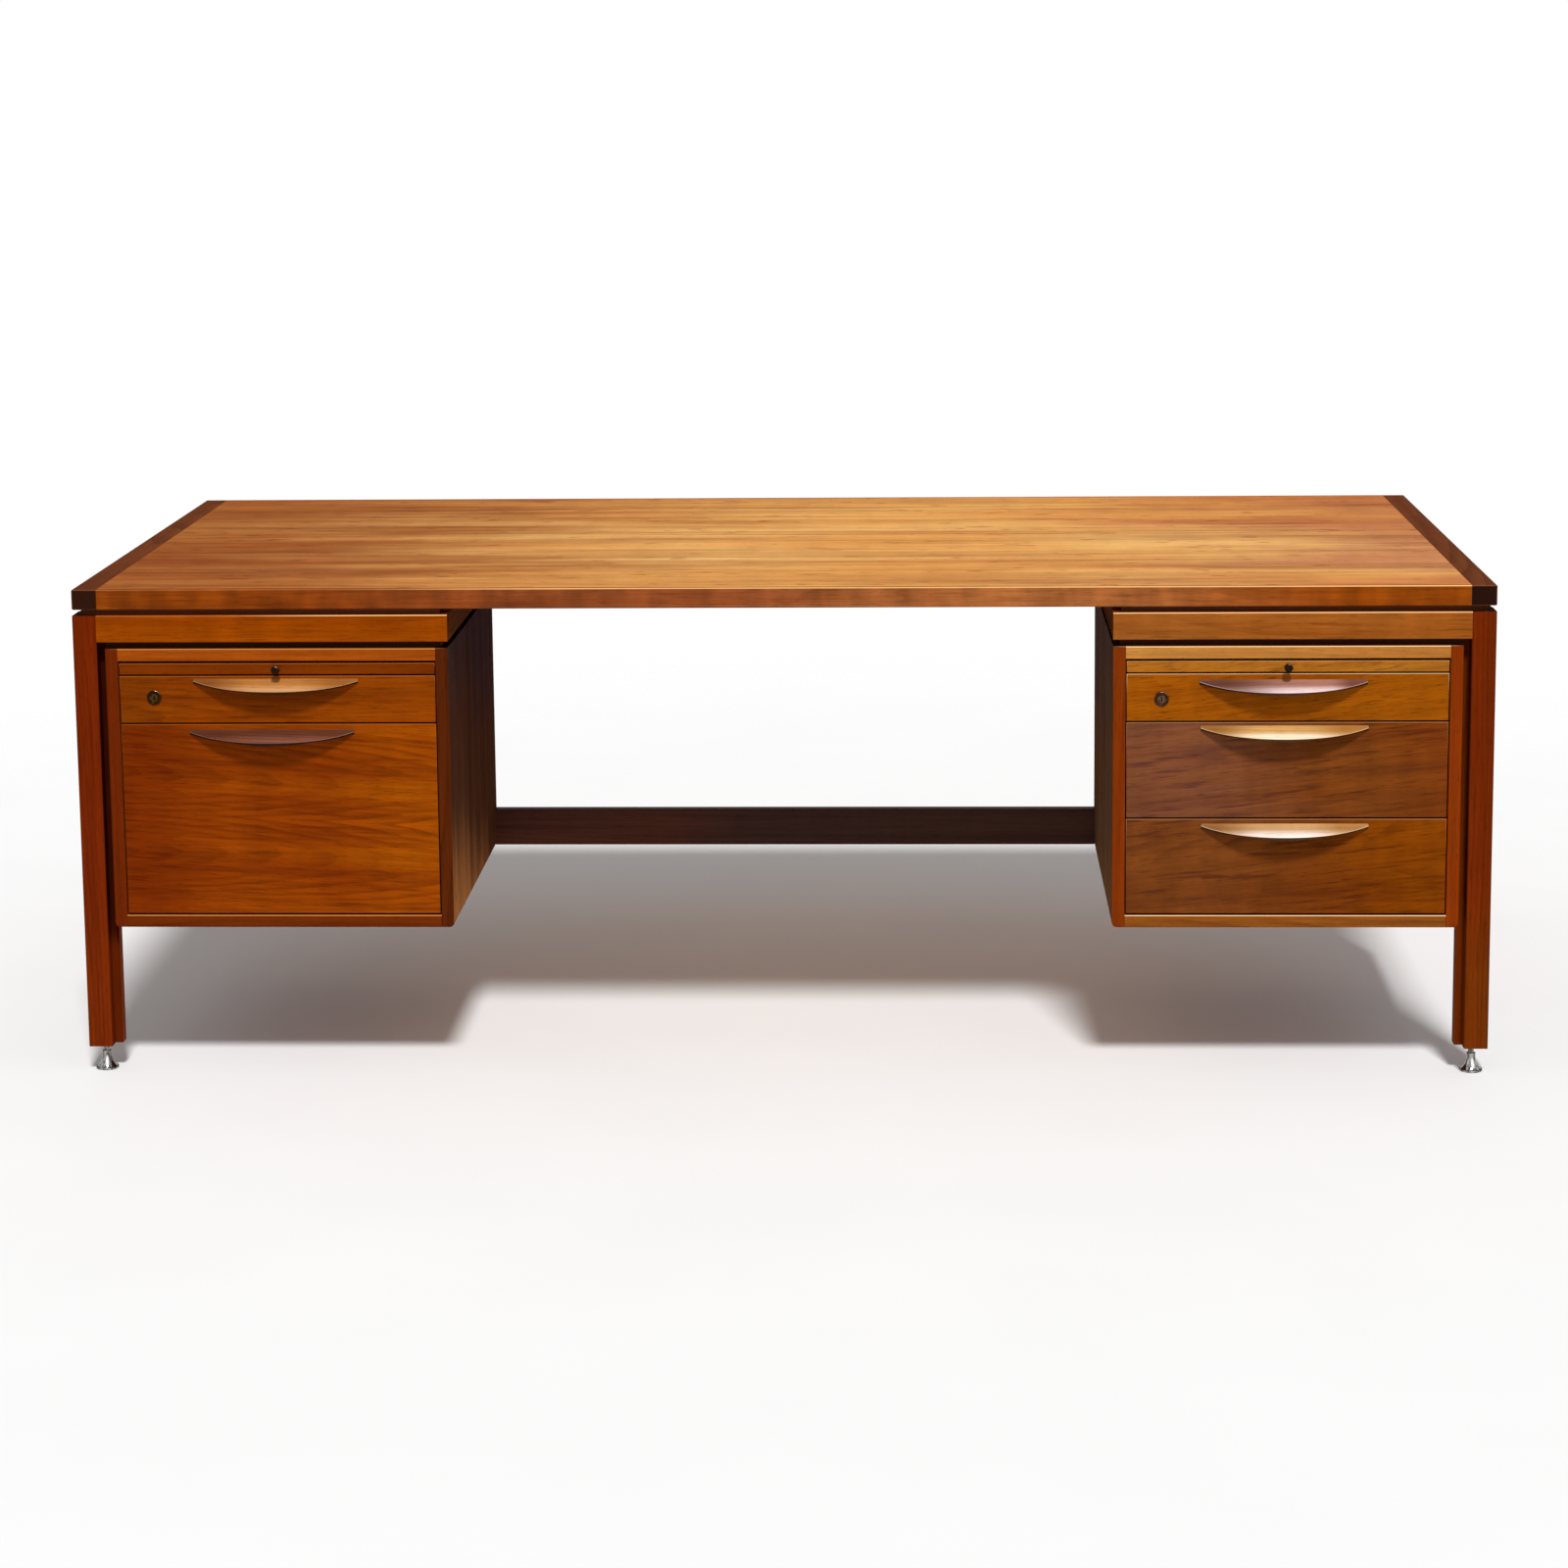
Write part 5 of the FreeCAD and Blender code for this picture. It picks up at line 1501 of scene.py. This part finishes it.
@dataclass
class Screws:
    """The frame's slotted countersunk screws, set by one Geometry Nodes tree."""

    joiner: Joiner
    node: str = "assembly_screws"
    head: float = 4.6 * MM
    head_height: float = 2.6 * MM
    shank: float = 2.4 * MM
    slot_width: float = 1.1 * MM
    slot_depth: float = 1.3 * MM
    seed: int = 7
    facets: int = 48
    slot_reach: float = 2.4
    end_slice: float = 0.1 * MM

    def build(self) -> None:
        """Set a screw at every CAD screw and bake them to one plain mesh."""
        work = welded(self.node)
        places = [self.place(faces) for faces in islands(work)]
        work.free()
        mesh = bpy.data.meshes.new("screw_places")
        mesh.from_pydata([place for place, _, _ in places], [], [])
        mesh.attributes.new("aim", "FLOAT_VECTOR", "POINT")
        mesh.attributes.new("reach", "FLOAT", "POINT")
        for number, (_, aim, reach) in enumerate(places):
            mesh.attributes["aim"].data[number].vector = aim
            mesh.attributes["reach"].data[number].value = reach
        piece = place_object("dressed_" + self.node, mesh)
        tree = self.tree()
        setter = piece.modifiers.new("screws", "NODES")
        setter.node_group = tree
        values = {"Head Radius": self.head, "Head Height": self.head_height, "Shank Radius": self.shank,
                  "Slot Width": self.slot_width, "Slot Depth": self.slot_depth, "Seed": self.seed,
                  "Material": SCREW_STEEL.material(self.node, self.joiner.seed())}
        for item in tree.interface.items_tree:
            if item.item_type == "SOCKET" and item.in_out == "INPUT" and item.name in values:
                setter[item.identifier] = values[item.name]
        evened(piece)
        dress(piece, self.node)

    def place(self, faces: List[Face]) -> Tuple[Vector, Vector, float]:
        """Where a CAD screw's head is, the way it points and its length.

        Args:
            faces: The faces of the CAD screw.

        Returns:
            The middle of the head's face, the direction of the shank and the length.
        """
        low, high = box_of(faces)
        axis = Grain.longest(high - low).axis
        middle = (low + high) / 2
        points = [vertex.co - middle for face in faces for vertex in face.verts]
        widths = []
        for end in (low[axis] - middle[axis], high[axis] - middle[axis]):
            near = [point for point in points if abs(point[axis] - end) < self.end_slice]
            widths.append(max(point.length_squared - point[axis] ** 2 for point in near))
        at_low = widths[0] > widths[1]
        head, aim = middle.copy(), Vector()
        head[axis] = low[axis] if at_low else high[axis]
        aim[axis] = 1.0 if at_low else -1.0
        return head, aim, high[axis] - low[axis]

    def tree(self) -> bpy.types.NodeTree:
        """Build the Geometry Nodes tree.

        Returns:
            A tree that sets a slotted screw on every point, along its aim and as long as its reach.
        """
        tree = bpy.data.node_groups.new("slotted_screws", "GeometryNodeTree")
        tree.interface.new_socket("Geometry", in_out="INPUT", socket_type="NodeSocketGeometry")
        for name in ("Head Radius", "Head Height", "Shank Radius", "Slot Width", "Slot Depth"):
            tree.interface.new_socket(name, in_out="INPUT", socket_type="NodeSocketFloat")
        tree.interface.new_socket("Seed", in_out="INPUT", socket_type="NodeSocketInt")
        tree.interface.new_socket("Material", in_out="INPUT", socket_type="NodeSocketMaterial")
        tree.interface.new_socket("Geometry", in_out="OUTPUT", socket_type="NodeSocketGeometry")
        graph = Graph(tree)
        given = graph.add("NodeGroupInput").outputs
        aim = graph.out("GeometryNodeInputNamedAttribute", {"Name": "aim"}, data_type="FLOAT_VECTOR")
        aligned = graph.out("FunctionNodeAlignRotationToVector", {"Vector": aim}, axis="Z")
        chance = graph.add("FunctionNodeRandomValue", {"Seed": given["Seed"], 3: math.pi}, data_type="FLOAT")
        spin = graph.out("FunctionNodeAxisAngleToRotation", {"Angle": chance.outputs[1]})
        turn = graph.out("FunctionNodeRotateRotation", {"Rotation": aligned, "Rotate By": spin},
                         rotation_space="LOCAL")
        both = graph.add("GeometryNodeJoinGeometry")
        for part in (self.heads(graph, given, turn), self.shanks(graph, given, aim, turn)):
            tree.links.new(part, both.inputs[0])
        real = graph.out("GeometryNodeRealizeInstances", {"Geometry": both.outputs[0]})
        painted = graph.out("GeometryNodeSetMaterial", {"Geometry": real, "Material": given["Material"]})
        graph.add("NodeGroupOutput", {0: painted})
        return tree

    def heads(self, graph: Graph, given: bpy.types.NodeOutputs, turn: Socket) -> Socket:
        """Add the nodes of the slotted heads.

        Args:
            graph: The tree's graph.
            given: The tree's inputs.
            turn: The rotation of each screw.

        Returns:
            The socket of the heads.
        """
        cone = graph.out("GeometryNodeMeshCone", {
            "Vertices": self.facets, "Radius Top": given["Shank Radius"],
            "Radius Bottom": given["Head Radius"], "Depth": given["Head Height"]})
        across = graph.math("MULTIPLY", given["Head Radius"], self.slot_reach)
        twice = graph.math("MULTIPLY", given["Slot Depth"], 2.0)
        size = graph.out("ShaderNodeCombineXYZ", {0: across, 1: given["Slot Width"], 2: twice})
        bar = graph.out("GeometryNodeMeshCube", {"Size": size})
        slotted = graph.out("GeometryNodeMeshBoolean", {"Mesh 1": cone, "Mesh 2": bar},
                            operation="DIFFERENCE")
        return graph.out("GeometryNodeInstanceOnPoints", {
            "Points": given["Geometry"], "Rotation": turn, "Instance": slotted})

    def shanks(self, graph: Graph, given: bpy.types.NodeOutputs, aim: Socket, turn: Socket) -> Socket:
        """Add the nodes of the shanks.

        Args:
            graph: The tree's graph.
            given: The tree's inputs.
            aim: The direction of each screw.
            turn: The rotation of each screw.

        Returns:
            The socket of the shanks.
        """
        reach = graph.out("GeometryNodeInputNamedAttribute", {"Name": "reach"}, data_type="FLOAT")
        rod = graph.out("GeometryNodeMeshCylinder", {
            "Vertices": self.facets, "Radius": given["Shank Radius"], "Depth": 1.0})
        lifted = graph.out("GeometryNodeTransform", {"Geometry": rod, "Translation": (0.0, 0.0, 0.5)})
        length = graph.math("SUBTRACT", reach, given["Head Height"])
        stretch = graph.out("ShaderNodeCombineXYZ", {0: 1.0, 1: 1.0, 2: length})
        ahead = graph.out("ShaderNodeVectorMath", {0: aim, 3: given["Head Height"]}, operation="SCALE")
        moved = graph.out("GeometryNodeSetPosition", {"Geometry": given["Geometry"], "Offset": ahead})
        return graph.out("GeometryNodeInstanceOnPoints", {
            "Points": moved, "Instance": lifted, "Rotation": turn, "Scale": stretch})


@dataclass
class Hardware:
    """Runners and telescopic slides."""

    joiner: Joiner

    def build(self) -> None:
        """Dress what the drawers run on."""
        self.joiner.boards("drawer_runners", DRAWER_BOX)
        for member in ("outer", "middle", "inner"):
            self.joiner.paint("file_slide_" + member, SLIDE_STEEL)


@dataclass
class Studio:
    """Pale floor, soft light and the camera."""

    eye: Colour = (0.2126, -5.638, 1.571)
    yaw: float = math.radians(2.273)
    pitch: float = math.radians(8.749)
    roll: float = math.radians(-0.552)
    frame_pixels: float = 1600.0
    focal_pixels: float = 3560.5
    middle_row: float = 580.0
    sensor: float = 36.0
    far: float = 100.0
    roughness: float = 0.9
    floor_half: float = 6.0
    floor_fade: Pair = (1.9, 3.4)
    floor_shades: Pair = (0.8668, 0.88)
    floor_shine: float = 0.1
    floor_mottle: Pattern = Pattern((3.0, 3.0, 3.0), offset=1, ramp=(0.3, 0.7))
    sky: float = 0.40
    key_from: Colour = (0.45, -2.7, 4.2)
    key_power: float = 2.7
    key_spread: float = math.radians(9)
    flag_size: Pair = (9.0, 4.0)
    flag_away: float = 1.6
    flag_foot: float = 0.6
    flag_shades: Pair = (0.02, 0.06)
    flag_mottle: Pattern = Pattern((1.5, 1.5, 1.5), offset=2, ramp=(0.3, 0.7))

    def build(self) -> None:
        """Set up floor, light, view and colour."""
        self.floor()
        self.world()
        self.key()
        self.flag()
        self.camera()
        bpy.context.scene.view_settings.view_transform = "Standard"

    def sheet(self, name: str, half: float, turn: Matrix, mottle: Pattern,
              shades: Pair) -> Tuple[bpy.types.Object, Graph, bpy.types.Node]:
        """Add a flat matt sheet to the stage.

        Args:
            name: Its name.
            half: Half its width, before the turn.
            turn: What places it.
            mottle: The pattern of its grey.
            shades: The darkest and the palest of its grey.

        Returns:
            The sheet, its material's graph and its shader node.
        """
        work = bmesh.new()
        bmesh.ops.create_grid(work, x_segments=1, y_segments=1, size=half)
        bmesh.ops.transform(work, matrix=turn, verts=work.verts)
        piece = add_object(name, work)
        material, graph, shader = new_material(name)
        level = graph.level(graph.add("ShaderNodeTexCoord").outputs["Object"], mottle, 0.0)
        graph.put(graph.grey(graph.spread(level, mottle.ramp, shades)), shader.inputs["Base Color"])
        shader.inputs["Roughness"].default_value = self.roughness
        piece.data.materials.append(material)
        LOG.info("%s: added to the stage", name)
        return piece, graph, shader

    def floor(self) -> None:
        """A wide pale plane that keeps the desk's shadow and fades out round it."""
        _, graph, shader = self.sheet("studio_floor", self.floor_half, Matrix.Identity(4), self.floor_mottle,
                                      self.floor_shades)
        shader.inputs["Specular IOR Level"].default_value = self.floor_shine
        away = graph.vector("LENGTH", graph.add("ShaderNodeTexCoord").outputs["Object"])
        clear = graph.out("ShaderNodeBsdfTransparent")
        faded = graph.spread(away, self.floor_fade)
        shown = graph.out("ShaderNodeMixShader", {0: faded, 1: shader.outputs[0], 2: clear})
        graph.put(shown, graph.tree.nodes["Material Output"].inputs["Surface"])

    def world(self) -> None:
        """A soft sky that the camera and the metal see as white."""
        world = bpy.data.worlds.new("studio")
        bpy.context.scene.world = world
        world.use_nodes = True
        graph = Graph(world.node_tree)
        rays = graph.add("ShaderNodeLightPath").outputs
        seen = graph.math("MAXIMUM", rays["Is Camera Ray"], rays["Is Glossy Ray"])
        seen = graph.math("MAXIMUM", seen, rays["Is Transmission Ray"])
        backdrop = world.node_tree.nodes["Background"]
        backdrop.inputs["Color"].default_value = (1.0, 1.0, 1.0, 1.0)
        graph.put(graph.spread(seen, (0.0, 1.0), (self.sky, 1.0)), backdrop.inputs["Strength"])

    def key(self) -> None:
        """One broad lamp, high in front and a little to the right."""
        light = bpy.data.lights.new("key_lamp", "SUN")
        light.energy = self.key_power
        light.angle = self.key_spread
        lamp = place_object("key_lamp", light)
        lamp.location = self.key_from
        lamp.rotation_euler = (-Vector(self.key_from)).to_track_quat("-Z", "Y").to_euler()

    def flag(self) -> None:
        """A dark board behind the desk, seen only in the lacquer, that keeps the top's colour deep."""
        width, height = self.flag_size
        turn = Matrix.Rotation(math.pi / 2, 4, "X") @ Matrix.Diagonal((width, height, 1.0, 1.0))
        lift = Matrix.Translation((0.0, self.flag_away, self.flag_foot + height / 2))
        piece, _, _ = self.sheet("studio_flag", 0.5, lift @ turn, self.flag_mottle, self.flag_shades)
        for ray in ("camera", "diffuse", "transmission", "shadow", "volume_scatter"):
            setattr(piece, "visible_" + ray, False)

    def camera(self) -> None:
        """Put the camera where the photograph was taken from."""
        ahead = Vector((-math.sin(self.yaw) * math.cos(self.pitch),
                        math.cos(self.yaw) * math.cos(self.pitch),
                        -math.sin(self.pitch)))
        level = Vector((math.cos(self.yaw), math.sin(self.yaw), 0.0))
        upright = level.cross(ahead)
        right = math.cos(self.roll) * level + math.sin(self.roll) * upright
        up = math.cos(self.roll) * upright - math.sin(self.roll) * level
        lens = bpy.data.cameras.new("photo_camera")
        lens.sensor_width = self.sensor
        lens.lens = self.focal_pixels / self.frame_pixels * self.sensor
        lens.shift_y = (self.middle_row - self.frame_pixels / 2) / self.frame_pixels
        lens.clip_end = self.far
        camera = place_object("photo_camera", lens)
        turn = Matrix((right, up, -ahead)).transposed().to_4x4()
        camera.matrix_world = Matrix.Translation(Vector(self.eye)) @ turn
        bpy.context.scene.camera = camera


def main() -> None:
    """Build every sub-assembly, then the studio around it."""
    logging.basicConfig(level=logging.INFO, format="%(name)s: %(message)s")
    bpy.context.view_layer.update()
    joiner = Joiner()
    assemblies = [DeskTop(joiner), UnderFrame(joiner), Legs(joiner)]
    assemblies += [Pedestal(joiner, side) for side in Side]
    assemblies += [Drawer(joiner, name, front, pull) for name, (front, pull) in DRAWERS.items()]
    assemblies += [WritingSlide(joiner, side, wood) for side, wood in WRITING_SLIDES.items()]
    assemblies += [DrawerLock(joiner, side) for side in Side]
    assemblies += [Hardware(joiner), Screws(joiner), Studio()]
    for assembly in assemblies:
        assembly.build()


if __name__ == "__main__":
    main()
